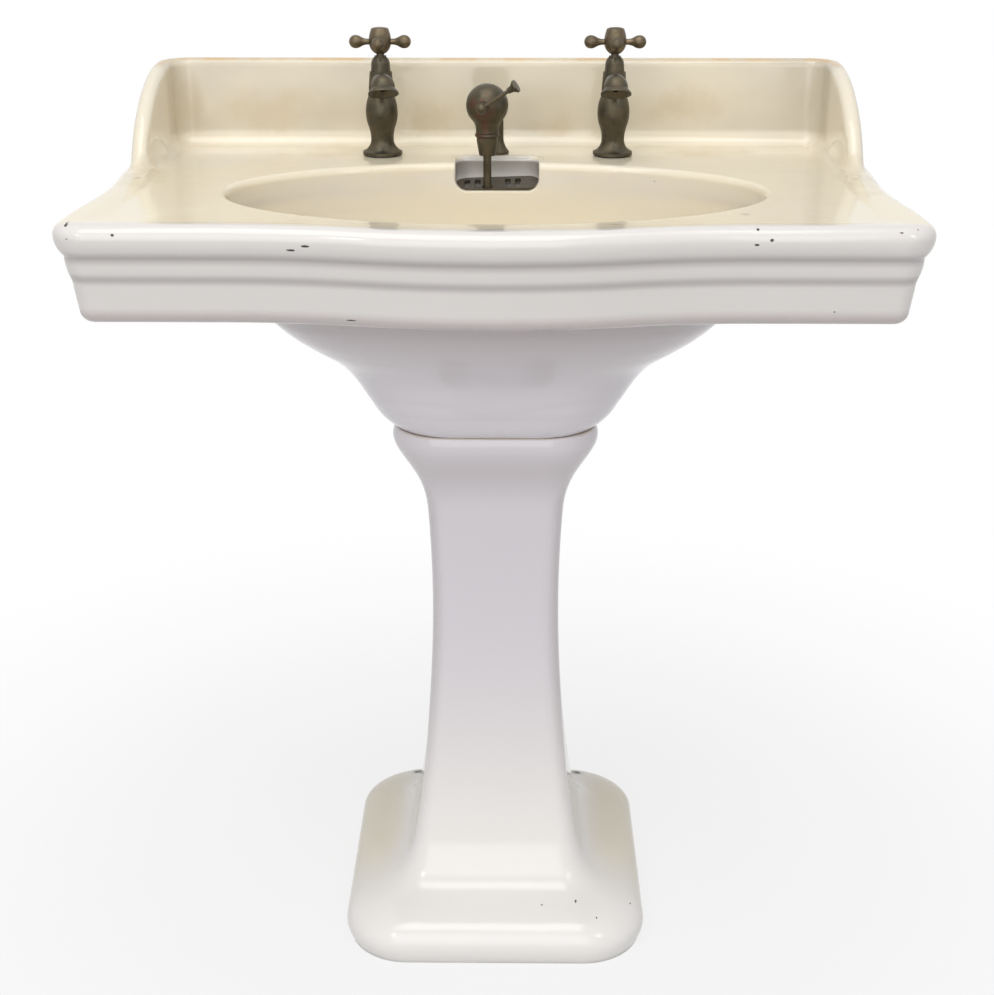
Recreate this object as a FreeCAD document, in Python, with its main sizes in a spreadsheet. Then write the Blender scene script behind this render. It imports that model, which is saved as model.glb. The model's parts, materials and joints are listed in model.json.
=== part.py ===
import FreeCAD, Part
import math
import os
from types import SimpleNamespace
import Sketcher

# Driving dimensions in millimetres and degrees. Drops are measured down from the rim's top.
SIZES = {
    # basin plan
    "basin_width": 782.0,
    "basin_depth": 518.0,
    "rim_height": 830.0,
    "front_bulge": 27.0,
    "bulge_half_span": 240.0,
    "rim_corner_radius": 32.0,
    "deck_drop": 4.0,
    "deck_thickness": 10.0,
    # rolled rim and moulded apron
    "roll_width": 42.0,
    "roll_radius": 12.0,
    "dish_corner_radius": 16.0,
    "dish_lip_inset": 19.5,
    "dish_lip_rise": 0.5,
    "dish_slope_inset": 33.0,
    "dish_slope_drop": 2.0,
    "groove_drop": 30.0,
    "groove_inset": 8.0,
    "bead_drop": 40.5,
    "bead_inset": 9.0,
    "bead_foot_drop": 50.0,
    "bead_foot_inset": 12.0,
    "fascia_drop": 60.0,
    "fascia_inset": 14.0,
    "fascia_draft": 3.0,
    "apron_height": 92.0,
    "apron_wall": 12.0,
    "apron_edge_radius": 12.0,
    "apron_inner_corner": 10.0,
    # splash back and wings
    "splash_rise": 91.0,
    "splash_thickness": 18.0,
    "splash_cove": 18.0,
    "splash_corner_radius": 18.0,
    "splash_bury": 4.0,
    "cove_bury": 0.5,
    "wing_inset": 10.0,
    "wing_sink": 10.5,
    "wing_run": 196.0,
    "wing_sweep_share": 0.24,
    # bowl
    "bowl_half_width": 263.0,
    "bowl_half_depth": 155.0,
    "bowl_centre_y": -36.0,
    "bowl_depth": 158.0,
    "bowl_fullness": 3.0,
    "bowl_roundness": 0.33,
    "bowl_edge_radius": 7.0,
    "bowl_wall": 9.5,
    # outside of the bowl and the collar under it
    "bell_top_drop": 10.0,
    "bell_cheek_drop": 86.0,
    "bell_cheek_half_width": 260.0,
    "bell_cheek_half_depth": 156.0,
    "bell_belly_drop": 127.0,
    "bell_belly_half_width": 227.0,
    "bell_belly_half_depth": 140.0,
    "bell_haunch_drop": 149.0,
    "bell_haunch_half_width": 203.0,
    "bell_haunch_half_depth": 128.0,
    "bell_haunch_y": -30.0,
    "bell_hip_drop": 160.0,
    "bell_hip_half_width": 188.0,
    "bell_hip_half_depth": 124.0,
    "bell_hip_y": -22.0,
    "bell_waist_drop": 171.0,
    "bell_waist_half_width": 170.0,
    "bell_waist_half_depth": 122.0,
    "bell_waist_y": -12.0,
    "bell_heel_drop": 186.0,
    "bell_heel_half_width": 148.0,
    "bell_heel_half_depth": 119.0,
    "bell_heel_y": -1.0,
    "collar_half_width": 104.0,
    "collar_half_depth": 95.0,
    "collar_corner": 60.0,
    "collar_round_height": 3.4,
    "collar_round_half_width": 109.0,
    "collar_round_half_depth": 101.0,
    "collar_round_corner": 66.0,
    "collar_swell_height": 12.5,
    "collar_swell_half_width": 119.0,
    "collar_swell_half_depth": 109.0,
    "collar_swell_corner": 74.0,
    "collar_waist_height": 28.5,
    "collar_waist_half_width": 130.0,
    "collar_waist_half_depth": 117.0,
    "collar_waist_corner": 84.0,
    "collar_flare_height": 48.0,
    "collar_flare_half_width": 144.5,
    "collar_flare_half_depth": 123.0,
    "collar_flare_corner": 104.0,
    "collar_root_height": 66.0,
    "collar_root_half_width": 160.0,
    "collar_root_half_depth": 126.0,
    "collar_root_corner": 124.0,
    "collar_wall": 11.0,
    "collar_hollow_height": 55.0,
    "collar_gate_half_width": 52.0,
    # overflow notch and waste chamber behind the bowl
    "notch_half_width": 45.0,
    "notch_drop": 34.0,
    "notch_corner": 13.0,
    "chamber_back_y": 163.0,
    "chamber_depth_y": 40.0,
    "chamber_wall": 6.0,
    "chamber_ledge": 3.5,
    "chamber_drop": 140.0,
    "well_radius": 27.0,
    "well_wall": 7.0,
    "well_drop": 182.0,
    "well_top_drop": 132.0,
    "well_floor": 10.0,
    "port_radius": 9.0,
    "port_wall": 7.0,
    "port_drop": 150.0,
    "port_length": 90.0,
    # pedestal, whose levels are named from the floor up
    "pedestal_height": 587.0,
    "pedestal_centre_y": 6.0,
    "pedestal_wall": 10.0,
    "pedestal_corner_wall": 6.0,
    "pedestal_hollow_drop": 6.0,
    "shaft_depth_trim": 8.0,
    "foot_back": 22.0,
    "instep_back": 15.0,
    "arch_back": 7.0,
    "shin_back": 2.0,
    "toe_half_width": 163.0,
    "toe_corner": 66.0,
    "foot_height": 12.0,
    "foot_half_width": 167.0,
    "foot_corner": 70.0,
    "welt_height": 28.0,
    "welt_half_width": 165.0,
    "welt_corner": 68.0,
    "brow_height": 40.0,
    "brow_half_width": 155.0,
    "brow_corner": 67.0,
    "instep_height": 50.0,
    "instep_half_width": 135.0,
    "instep_corner": 53.0,
    "arch_height": 63.0,
    "arch_half_width": 110.0,
    "arch_corner": 36.0,
    "arch_depth_trim": 2.4,
    "shin_height": 84.0,
    "shin_half_width": 96.0,
    "shin_corner": 25.0,
    "shin_depth_trim": 4.8,
    "ankle_height": 116.0,
    "ankle_half_width": 88.0,
    "calf_height": 244.0,
    "calf_half_width": 74.1,
    "waist_height": 372.0,
    "waist_half_width": 68.0,
    "shaft_corner": 20.0,
    "nape_drop": 107.5,
    "nape_half_width": 70.5,
    "shoulder_drop": 78.0,
    "shoulder_half_width": 74.0,
    "shoulder_corner": 23.0,
    "flare_drop": 50.0,
    "flare_half_width": 85.5,
    "flare_corner": 33.0,
    "brink_drop": 33.0,
    "brink_half_width": 96.5,
    "brink_corner": 44.0,
    "ring_height": 24.0,
    "ring_foot_half_width": 102.0,
    "ring_half_width": 103.0,
    "ring_corner": 50.0,
    "gate_half_width": 46.0,
    "gate_bottom": 76.0,
    "floor_hole_radius": 5.5,
    "floor_hole_x": 100.0,
    "floor_hole_y": 164.0,
    "floor_hole_top": 80.0,
    # pillar taps
    "tap_half_pitch": 126.0,
    "tap_y": 168.0,
    "hot_tap_turn": 7.0,
    "cold_tap_turn": -1.0,
    "tap_flange_radius": 21.5,
    "tap_flange_thickness": 3.2,
    "tap_neck_radius": 12.4,
    "tap_neck_height": 16.0,
    "tap_belly_radius": 17.4,
    "tap_belly_height": 45.0,
    "tap_throat_radius": 12.2,
    "tap_throat_height": 66.0,
    "hood_radius": 13.4,
    "hood_height": 22.0,
    "hood_draft": 1.4,
    "hood_lip": 1.8,
    "valve_bore_radius": 8.6,
    "waterway_radius": 5.5,
    "seat_height": 64.0,
    "tail_radius": 10.48,
    "tail_length": 62.0,
    "tap_shank_radius": 10.9,
    "tap_shank_length": 22.0,
    "spout_reach": 50.0,
    "spout_height": 78.0,
    "spout_root_radius": 9.6,
    "spout_elbow_radius": 12.5,
    "spout_mouth_radius": 16.2,
    "spout_mouth_length": 8.0,
    "spout_mouth_lip": 1.4,
    "spout_mouth_angle": 246.5,
    "spout_wall": 2.2,
    "spout_bore_radius": 6.2,
    "tap_hole_clearance": 0.7,
    "tap_washer_thickness": 1.5,
    "tap_washer_radius": 19.0,
    "back_nut_flats": 30.0,
    "back_nut_thickness": 9.0,
    "thread_clearance": 0.06,
    "running_clearance": 0.06,
    "bonnet_radius": 10.6,
    "bonnet_height": 15.0,
    "bonnet_waist_radius": 10.1,
    "bonnet_waist_height": 7.5,
    "bonnet_lip": 0.6,
    "bonnet_plug": 8.0,
    "gland_radius": 6.4,
    "gland_sink": 4.0,
    "gland_stand": 1.6,
    "spindle_radius": 4.3,
    "spindle_grip": 11.0,
    "jumper_radius": 7.4,
    "jumper_thickness": 2.5,
    "jumper_stem_radius": 2.1,
    "jumper_stem_length": 8.0,
    "valve_washer_radius": 7.1,
    "valve_washer_thickness": 3.0,
    "lift_gap": 0.1,
    "hub_gap": 2.4,
    "hub_height": 26.0,
    "hub_radius": 12.0,
    "hub_top_radius": 9.6,
    "hub_foot_wall": 1.3,
    "hub_shoulder_drop": 1.5,
    "hub_lip": 0.85,
    "arm_height": 12.0,
    "arm_reach": 33.2,
    "arm_root": 6.0,
    "arm_neck_reach": 13.2,
    "arm_neck_radius": 3.1,
    "arm_swell_share": 0.55,
    "arm_club_radius": 6.9,
    "index_radius": 7.4,
    "index_thickness": 3.0,
    "index_sink": 1.8,
    "index_edge": 2.2,
    # lift-up waste fitting
    "pillar_y": 181.0,
    "pillar_foot_radius": 12.5,
    "pillar_foot_edge": 2.5,
    "pillar_ankle_height": 17.5,
    "pillar_stem_radius": 6.5,
    "pillar_shoulder_rise": 2.0,
    "pillar_crown_rise": 8.5,
    "pillar_arm_radius": 6.0,
    "pillar_shank_radius": 5.8,
    "pillar_shank_length": 26.0,
    "pillar_nut_flats": 19.0,
    "pillar_nut_thickness": 6.0,
    "head_reach": 51.0,
    "head_swing": -12.0,
    "head_height": 59.0,
    "bulb_radius": 22.5,
    "bulb_wall": 3.0,
    "bulb_boss_radius": 8.0,
    "bulb_boss_reach": 25.0,
    "bulb_boss_root": 0.9,
    "cheek_radius": 16.2,
    "neck_radius": 12.2,
    "neck_drop": 29.0,
    "neck_band": 2.9,
    "neck_bore_radius": 9.0,
    "opening_y": 6.5,
    "cover_radius": 14.5,
    "cover_boss_radius": 7.4,
    "cover_boss_stand": 3.0,
    "cover_inner_y": 13.0,
    "guide_ring_radius": 13.3,
    "guide_ring_thickness": 4.6,
    "guide_ring_round": 1.8,
    "guide_top_radius": 11.5,
    "guide_tip_radius": 8.8,
    "guide_length": 19.0,
    "guide_band": 3.8,
    "guide_spigot": 9.0,
    "rod_radius": 4.4,
    "crank_shaft_radius": 3.4,
    "crank_shaft_stand": 2.2,
    "crank_radius": 12.0,
    "crank_half_angle": 45.0,
    "crank_web_radius": 3.4,
    "crank_web_y": 5.0,
    "crank_web_thickness": 4.0,
    "crank_pin_radius": 1.8,
    "yoke_half_thickness": 2.5,
    "yoke_slot_clearance": 0.6,
    "yoke_arm": 1.6,
    "yoke_root": 2.2,
    "lever_angle": 33.0,
    "lever_hub_radius": 5.8,
    "lever_hub_thickness": 5.0,
    "lever_rod_root": 4.6,
    "lever_root_radius": 2.4,
    "lever_rod_radius": 1.9,
    "lever_reach": 37.0,
    "knob_radius": 7.0,
    "knob_top_radius": 6.7,
    "knob_length": 11.0,
    "knob_socket": 3.0,
    "knob_socket_clearance": 0.25,
    "knob_foot_wall": 0.9,
    "knob_waist_radius": 3.8,
    "knob_waist_height": 5.0,
    "knob_brow_height": 9.0,
    "lever_nut_radius": 4.6,
    "lever_nut_thickness": 3.6,
    "lever_nut_edge": 1.4,
    # waste outlet and grating
    "grating_thickness": 3.0,
    "grating_gap": 0.5,
    "grating_corner": 10.0,
    "grating_slot_half_width": 3.2,
    "grating_slot_length": 24.0,
    "grating_pitch": 11.0,
    "grating_hole_radius": 5.7,
    "plunger_radius": 19.0,
    "plunger_thickness": 5.0,
    "plunger_rim": 3.0,
    "plunger_boss_height": 10.0,
    "plunger_boss_radius": 8.0,
    "plunger_washer_radius": 18.0,
    "plunger_washer_thickness": 3.0,
    "plunger_nut_flats": 13.6,
    "plunger_nut_thickness": 5.0,
    "outlet_flange_radius": 25.0,
    "outlet_flange_thickness": 3.5,
    "outlet_radius": 20.95,
    "outlet_shank_radius": 21.4,
    "outlet_shank_length": 27.0,
    "outlet_bore_radius": 15.5,
    "outlet_length": 76.0,
    "outlet_hole_clearance": 0.5,
    "outlet_washer_thickness": 2.0,
    "outlet_nut_flats": 52.0,
    "outlet_nut_thickness": 11.0,
}

doc = FreeCAD.newDocument("pedestal_basin")
sheet = doc.addObject("Spreadsheet::Sheet", "Sizes")
for row, (alias, value) in enumerate(SIZES.items(), start=1):
    sheet.set("A{}".format(row), alias)
    sheet.set("B{}".format(row), str(value))
    sheet.setAlias("B{}".format(row), alias)
doc.recompute()


class Size:
    """A number together with the sheet expression that gives it."""

    def __init__(self, number, text):
        self.number = number
        self.text = text

    def joined(self, sign, other, number):
        return Size(number, "({} {} {})".format(self.text, sign, as_size(other).text))

    def __add__(self, other):
        return self.joined("+", other, self.number + as_size(other).number)

    def __sub__(self, other):
        return self.joined("-", other, self.number - as_size(other).number)

    def __mul__(self, other):
        return self.joined("*", other, self.number * as_size(other).number)

    def __truediv__(self, other):
        return self.joined("/", other, self.number / as_size(other).number)

    def __pow__(self, other):
        return self.joined("^", other, self.number ** as_size(other).number)

    def __radd__(self, other):
        return as_size(other) + self

    def __rsub__(self, other):
        return as_size(other) - self

    def __rmul__(self, other):
        return as_size(other) * self

    def __neg__(self):
        return as_size(-1.0) * self


def as_size(value):
    if isinstance(value, Size):
        return value
    return Size(float(value), "({:.9f})".format(value))


def root(value):
    return Size(math.sqrt(value.number), "sqrt({})".format(value.text))


def sine(angle):
    return Size(math.sin(math.radians(angle.number)), "sin({})".format(angle.text))


def cosine(angle):
    return Size(math.cos(math.radians(angle.number)), "cos({})".format(angle.text))


S = SimpleNamespace(**{name: Size(value, "Sizes." + name) for name, value in SIZES.items()})

# A quarter-round corner's middle lies this share of its radius from the square corner.
CORNER_NIP = 1.0 - math.sqrt(0.5)
HEX_POINT = 1.0 / math.sqrt(3.0)

AXIS = as_size(0.0)
# How far a cut runs past the face that it opens.
OVERCUT = as_size(1.0)
# How near an edge's middle lies to the line that it is looked for on.
EDGE_SLACK = 0.01

# Levels and lines that several pieces share.
RIM = S.rim_height
DECK = RIM - S.deck_drop
DECK_UNDER = DECK - S.deck_thickness
BACK = S.basin_depth / 2
HEM_INSET = S.fascia_inset + S.fascia_draft
CHAMBER_Y = S.chamber_back_y - S.chamber_depth_y / 2
ROD_X = S.head_reach * sine(S.head_swing)
ROD_Y = S.pillar_y - S.head_reach * cosine(S.head_swing)
WELL_FLOOR = RIM - S.well_drop
TAP_Z = DECK + S.tap_washer_thickness


def new_body(name):
    body = doc.addObject("PartDesign::Body", name)
    body.Label = name
    return body


def place(body, x=0.0, y=0.0, z=0.0, turn=None):
    """Stand a body at a point of the row frame, turned about the upright axis."""
    for axis, value in (("x", x), ("y", y), ("z", z)):
        body.setExpression("Placement.Base." + axis, as_size(value).text)
    if turn is not None:
        body.Placement.Rotation = FreeCAD.Rotation(FreeCAD.Vector(0, 0, 1), turn.number)
        body.setExpression("Placement.Rotation.Angle", turn.text)


def sketch_on(body, plane, name, lift=0.0, rise=0.0):
    """A sketch on one of the body's own planes, lifted along its normal and risen along its upright."""
    sketch = body.newObject("Sketcher::SketchObject", name)
    support = [item for item in body.Origin.OriginFeatures if item.Role == plane][0]
    sketch.AttachmentSupport = [(support, "")]
    sketch.MapMode = "FlatFace"
    sketch.setExpression("AttachmentOffset.Base.z", as_size(lift).text)
    sketch.setExpression("AttachmentOffset.Base.y", as_size(rise).text)
    return sketch


def vector(point):
    return FreeCAD.Vector(as_size(point[0]).number, as_size(point[1]).number, 0)


def tie(sketch, ties):
    """Add constraints and bind each one's value to its size."""
    indices = sketch.addConstraint([constraint for constraint, value in ties])
    for index, (constraint, value) in zip(indices, ties):
        if value is not None:
            sketch.setExpression("Constraints[{}]".format(index), as_size(value).text)


def pin_point(geometry, position, point):
    """The two distances that hold a point of a sketch in place."""
    kinds = ("DistanceX", "DistanceY")
    return [
        (Sketcher.Constraint(kind, -1, 1, geometry, position, as_size(value).number), value)
        for kind, value in zip(kinds, point)
    ]


def draw(sketch, start, *steps, closed=True):
    """Chain lines (x, y) and arcs (middle x, middle y, x, y), with every point tied to its sizes."""
    steps = list(steps)
    if closed and vector(steps[-1][-2:]).distanceToPoint(vector(start)) > 1e-7:
        steps.append(start)
    begins = [start] + [step[-2:] for step in steps[:-1]]
    ties = []
    chain = []
    for begin, step in zip(begins, steps):
        first, last = vector(begin), vector(step[-2:])
        if len(step) == 2:
            geometry = sketch.addGeometry(Part.LineSegment(first, last), False)
            chain.append((geometry, 1, 2))
        else:
            middle = vector(step[:2])
            geometry = sketch.addGeometry(Part.Arc(first, middle, last), False)
            marker = sketch.addGeometry(Part.Point(middle), True)
            ties += pin_point(marker, 1, step[:2])
            ties.append((Sketcher.Constraint("PointOnObject", marker, 1, geometry), None))
            forward = (middle - first).cross(last - first).z > 0
            chain.append((geometry, 1, 2) if forward else (geometry, 2, 1))
        ties += pin_point(geometry, chain[-1][1], begin)
    for (geometry, _, end), (following, begin, _) in zip(chain, chain[1:] + chain[:1]):
        if closed or geometry != chain[-1][0]:
            ties.append((Sketcher.Constraint("Coincident", geometry, end, following, begin), None))
    if not closed:
        ties += pin_point(chain[-1][0], chain[-1][2], steps[-1][-2:])
    tie(sketch, ties)
    return sketch


def circle(sketch, x, y, radius):
    outline = Part.Circle(vector((x, y)), FreeCAD.Vector(0, 0, 1), radius.number)
    geometry = sketch.addGeometry(outline, False)
    tie(sketch, pin_point(geometry, 3, (x, y)) + [
        (Sketcher.Constraint("Radius", geometry, radius.number), radius)])
    return sketch


def ellipse(sketch, x, y, half_width, half_depth):
    curve = Part.Ellipse(vector((x, y)), half_width.number, half_depth.number)
    geometry = sketch.addGeometry(curve, False)
    sketch.exposeInternalGeometry(geometry)
    major, minor = geometry + 1, geometry + 2
    centre = pin_point(geometry, 3, (x, y))
    reach_x = x + half_width
    reach_y = y + half_depth
    tie(sketch, centre + [
        (Sketcher.Constraint("Horizontal", major), None),
        (Sketcher.Constraint("DistanceX", -1, 1, major, 1, reach_x.number), reach_x),
        (Sketcher.Constraint("DistanceY", -1, 1, minor, 1, reach_y.number), reach_y)])
    return sketch


def rounded_rectangle(sketch, x, y, half_width, half_depth, corner):
    """A rectangle about a centre with four quarter-round corners."""
    right, left = x + half_width, x - half_width
    top, bottom = y + half_depth, y - half_depth
    nip = corner * CORNER_NIP
    return draw(
        sketch, (right, bottom + corner),
        (right, top - corner),
        (right - nip, top - nip, right - corner, top),
        (left + corner, top),
        (left + nip, top - nip, left, top - corner),
        (left, bottom + corner),
        (left + nip, bottom + nip, left + corner, bottom),
        (right - corner, bottom),
        (right - nip, bottom + nip, right, bottom + corner))


def hexagon(sketch, flats):
    half = flats / 2
    point = flats * HEX_POINT
    return draw(
        sketch, (point, 0.0), (point / 2, half), (-point / 2, half),
        (-point, 0.0), (-point / 2, -half), (point / 2, -half))


def bend(start, end, upright=False):
    """An arc from start to end that leaves start level, or upright."""
    x, y = (1, 0) if upright else (0, 1)
    run = as_size(end[x] - start[x])
    climb = as_size(end[y] - start[y])
    way = math.copysign(1.0, run.number)
    chord = root(run * run + climb * climb)
    middle = [None, None]
    middle[x] = start[x] + chord * (way / 2)
    middle[y] = start[y] + chord * (chord - run * way) / (climb * 2)
    return (middle[0], middle[1], end[0], end[1])


def bend_in(start, end, upright=False):
    """An arc from start to end that arrives at end level, or upright."""
    back = bend(end, start, upright)
    return (back[0], back[1], end[0], end[1])


def ogee(start, end, share=0.5, upright=False):
    """Two arcs in an S that is level, or upright, at both ends."""
    joint = tuple(a + (b - a) * share for a, b in zip(start, end))
    return [bend(start, joint, upright), bend_in(joint, end, upright)]


def feature(body, kind, name, **values):
    """A feature of a body, with sizes bound and other properties set."""
    item = body.newObject("PartDesign::" + kind, name)
    for key, value in values.items():
        if isinstance(value, Size):
            item.setExpression(key, value.text)
        else:
            setattr(item, key, value)
    return item


def turned(body, sketch, kind="Revolution", axis="V_Axis"):
    return feature(body, kind, sketch.Name + "_turned", Profile=sketch, ReferenceAxis=(sketch, [axis]))


def lofted(body, sketches, kind="AdditiveLoft"):
    return feature(body, kind, sketches[0].Name + "_loft", Profile=sketches[0], Sections=sketches[1:])


def swept(body, profile, spine, kind="AdditivePipe"):
    return feature(body, kind, profile.Name + "_sweep", Profile=profile, Spine=spine)


def turned_about_slant(body, sketch, start, angle, *points, kind="Revolution"):
    """Turn a profile, given along and out from a slanted line through a start point, about that line."""
    def at(along, out):
        x = start[0] + cosine(angle) * along - sine(angle) * out
        y = start[1] + sine(angle) * along + cosine(angle) * out
        return (x, y)

    ends = (at(AXIS, AXIS), at(points[-1][0], AXIS))
    line = sketch.addGeometry(Part.LineSegment(vector(ends[0]), vector(ends[1])), True)
    tie(sketch, pin_point(line, 1, ends[0]) + pin_point(line, 2, ends[1]))
    draw(sketch, *[at(*point) for point in points])
    return turned(body, sketch, kind, axis="Axis0")


def rounded_edges(body, base, name, radius, wanted):
    """Round the edges of a feature whose middle point passes a test."""
    doc.recompute()
    names = []
    for index, edge in enumerate(base.Shape.Edges, start=1):
        middle = edge.valueAt((edge.FirstParameter + edge.LastParameter) / 2)
        if wanted(middle):
            names.append("Edge{}".format(index))
    return feature(body, "Fillet", name, Base=(base, names), Radius=radius)


# Basin

def plan_edge(inset, corner, back):
    """The U of the basin's front edge in plan from left back to right back, moved inwards."""
    side = S.basin_width / 2 - inset
    front = S.front_bulge - BACK + inset
    nip = corner * CORNER_NIP
    span = S.bulge_half_span
    bow = front - S.front_bulge
    start = (-side, back)
    steps = [
        (-side, front + corner),
        (-side + nip, front + nip, -side + corner, front),
        (-span, front)]
    steps += ogee((-span, front), (0.0, bow))
    steps += ogee((0.0, bow), (span, front))
    steps += [
        (side - corner, front),
        (side - nip, front + nip, side, front + corner),
        (side, back)]
    return start, steps


def rim_moulding(sketch):
    """Section of what is cut away outside the rolled rim and the apron, at the left side's back end."""
    def at(inset, drop):
        return (inset - S.basin_width / 2, RIM - drop)

    nip = S.roll_radius * CORNER_NIP
    nose = at(AXIS, S.roll_radius)
    groove = at(S.groove_inset, S.groove_drop)
    bead_foot = at(S.bead_foot_inset, S.bead_foot_drop)
    fascia = at(S.fascia_inset, S.fascia_drop)
    edge = S.apron_edge_radius
    edge_nip = edge * CORNER_NIP
    below = S.apron_height + OVERCUT
    return draw(
        sketch, at(S.roll_radius, -OVERCUT),
        at(S.roll_radius, AXIS),
        at(nip, nip) + nose,
        bend(nose, groove, upright=True),
        at(S.bead_inset, S.bead_drop) + bead_foot,
        bend_in(bead_foot, fascia, upright=True),
        at(HEM_INSET, S.apron_height - edge),
        at(HEM_INSET + edge_nip, S.apron_height - edge_nip) + at(HEM_INSET + edge, S.apron_height),
        at(HEM_INSET + edge, below),
        at(-OVERCUT, below),
        at(-OVERCUT, -OVERCUT))


def dish_section(body, name, inset, lift):
    """An outline of the dished deck, which runs back to the middle of the splash back."""
    sketch = sketch_on(body, "XY_Plane", name, lift=lift)
    start, steps = plan_edge(inset, S.dish_corner_radius, BACK - S.splash_thickness / 2)
    return draw(sketch, start, *steps)


def rim_and_deck(body):
    """A slab with a moulded edge, dished on top between the rolls and hollow under the deck."""
    slab = sketch_on(body, "XY_Plane", "slab", lift=RIM)
    start, steps = plan_edge(AXIS, S.rim_corner_radius, BACK)
    draw(slab, start, *steps)
    feature(body, "Pad", "slab_pad", Profile=slab, Length=S.apron_height, Reversed=True)
    section = sketch_on(body, "XZ_Plane", "rim_section", lift=-BACK - OVERCUT)
    rim_moulding(section)
    spine = sketch_on(body, "XY_Plane", "rim_path", lift=RIM)
    start, steps = plan_edge(AXIS, S.rim_corner_radius, BACK + OVERCUT)
    draw(spine, start, *steps, closed=False)
    swept(body, section, spine, "SubtractivePipe")
    lofted(body, [
        dish_section(body, "dish_lip", S.dish_lip_inset, RIM + S.dish_lip_rise),
        dish_section(body, "dish_slope", S.dish_slope_inset, RIM - S.dish_slope_drop),
        dish_section(body, "dish_floor", S.roll_width, DECK)], "SubtractiveLoft")
    hollow = sketch_on(body, "XY_Plane", "apron_hollow", lift=DECK_UNDER)
    start, steps = plan_edge(HEM_INSET + S.apron_wall, S.apron_inner_corner, BACK + OVERCUT)
    draw(hollow, start, *steps)
    feature(body, "Pocket", "apron_hollow_cut", Profile=hollow, Length=S.apron_height)


def splash_wall(body):
    """The U wall of splash back and wings, with its cove, cut down to the wings' swept outline."""
    half = S.splash_thickness / 2
    outer = S.wing_inset - S.basin_width / 2
    inner = outer + S.splash_thickness
    centre_x = outer + half
    back_y = BACK - half
    turn = S.splash_corner_radius + half
    nip = turn * CORNER_NIP
    sweep_end = back_y - turn
    sweep_start = sweep_end - S.wing_run
    wing_front = sweep_start - S.splash_thickness
    low = RIM - S.wing_sink
    high = RIM + S.splash_rise - half
    foot = DECK - S.cove_bury
    base = DECK - S.splash_bury
    cove = S.splash_cove
    cove_nip = cove * CORNER_NIP

    section = sketch_on(body, "XZ_Plane", "splash_section", lift=-wing_front)
    draw(
        section, (outer, base),
        (outer, high),
        (centre_x, high + half, inner, high),
        (inner, foot + cove),
        (inner + cove_nip, foot + cove_nip, inner + cove, foot),
        (inner + cove, base))
    path = sketch_on(body, "XY_Plane", "splash_path", lift=RIM)
    draw(
        path, (centre_x, wing_front),
        (centre_x, sweep_end),
        (centre_x + nip, back_y - nip, centre_x + turn, back_y),
        (-centre_x - turn, back_y),
        (-centre_x - nip, back_y - nip, -centre_x, sweep_end),
        (-centre_x, wing_front), closed=False)
    swept(body, section, path)

    # The wing's lower arc starts below the rim, so the trim joins it where it comes out.
    sweep = ogee((sweep_start, low), (sweep_end, high), S.wing_sweep_share)
    joint = sweep[0][2:]
    run, climb = joint[0] - sweep_start, joint[1] - low
    reach = (run * run + climb * climb) / climb

    def on_sweep(height):
        return (sweep_start + root(height * (reach - height)), low + height)

    emerge = on_sweep(S.wing_sink)
    above = on_sweep((S.wing_sink + climb) / 2)
    over = high + S.splash_thickness * 2
    trim = sketch_on(body, "YZ_Plane", "wing_trim", lift=-S.basin_width)
    draw(
        trim, (wing_front - half, RIM), emerge, above + joint, sweep[1],
        (sweep_end, over), (wing_front - half, over))
    feature(body, "Pocket", "wing_outline", Profile=trim, Length=S.basin_width * 2, Reversed=True)

    for side, name in ((1.0, "left"), (-1.0, "right")):
        nose = sketch_on(body, "XZ_Plane", name + "_wing_nose", lift=-wing_front)
        circle(nose, centre_x * side, low, half)
        ridge = sketch_on(body, "YZ_Plane", name + "_wing_ridge", lift=centre_x * side)
        draw(ridge, (wing_front, low), (sweep_start, low), *sweep, closed=False)
        swept(body, nose, ridge)


# Shares of the bowl's depth where its sections lie, closer together where it turns to its floor.
BOWL_SHARES = (0.0, 0.25, 0.5, 0.7, 0.84, 0.93, 0.985)


def bowl_share(depth_share):
    """How wide the bowl still is at a share of its depth."""
    return (1.0 - as_size(depth_share) ** S.bowl_fullness) ** S.bowl_roundness


def bowl_section(body, name, depth_share):
    share = bowl_share(depth_share)
    sketch = sketch_on(body, "XY_Plane", name, lift=DECK - S.bowl_depth * depth_share)
    return ellipse(
        sketch, AXIS, S.bowl_centre_y, S.bowl_half_width * share, S.bowl_half_depth * share)


def bell(body):
    """The bowl's outside, from under the deck down to the collar in an ogee."""
    wall = S.bowl_wall
    y = S.bowl_centre_y
    levels = [
        (S.bell_top_drop, y, S.bowl_half_width + wall, S.bowl_half_depth + wall),
        (S.bell_cheek_drop, y, S.bell_cheek_half_width, S.bell_cheek_half_depth),
        (S.bell_belly_drop, y, S.bell_belly_half_width, S.bell_belly_half_depth),
        (S.bell_haunch_drop, S.bell_haunch_y, S.bell_haunch_half_width, S.bell_haunch_half_depth),
        (S.bell_hip_drop, S.bell_hip_y, S.bell_hip_half_width, S.bell_hip_half_depth),
        (S.bell_waist_drop, S.bell_waist_y, S.bell_waist_half_width, S.bell_waist_half_depth),
        (S.bell_heel_drop, S.bell_heel_y, S.bell_heel_half_width, S.bell_heel_half_depth)]
    lofted(body, [
        ellipse(sketch_on(body, "XY_Plane", "bell_{}".format(i), lift=RIM - drop), AXIS, *level)
        for i, (drop, *level) in enumerate(levels)])


def collar_section(body, name, height, half_width, half_depth, corner):
    sketch = sketch_on(body, "XY_Plane", name, lift=S.pedestal_height + height)
    return rounded_rectangle(sketch, AXIS, S.pedestal_centre_y, half_width, half_depth, corner)


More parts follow.
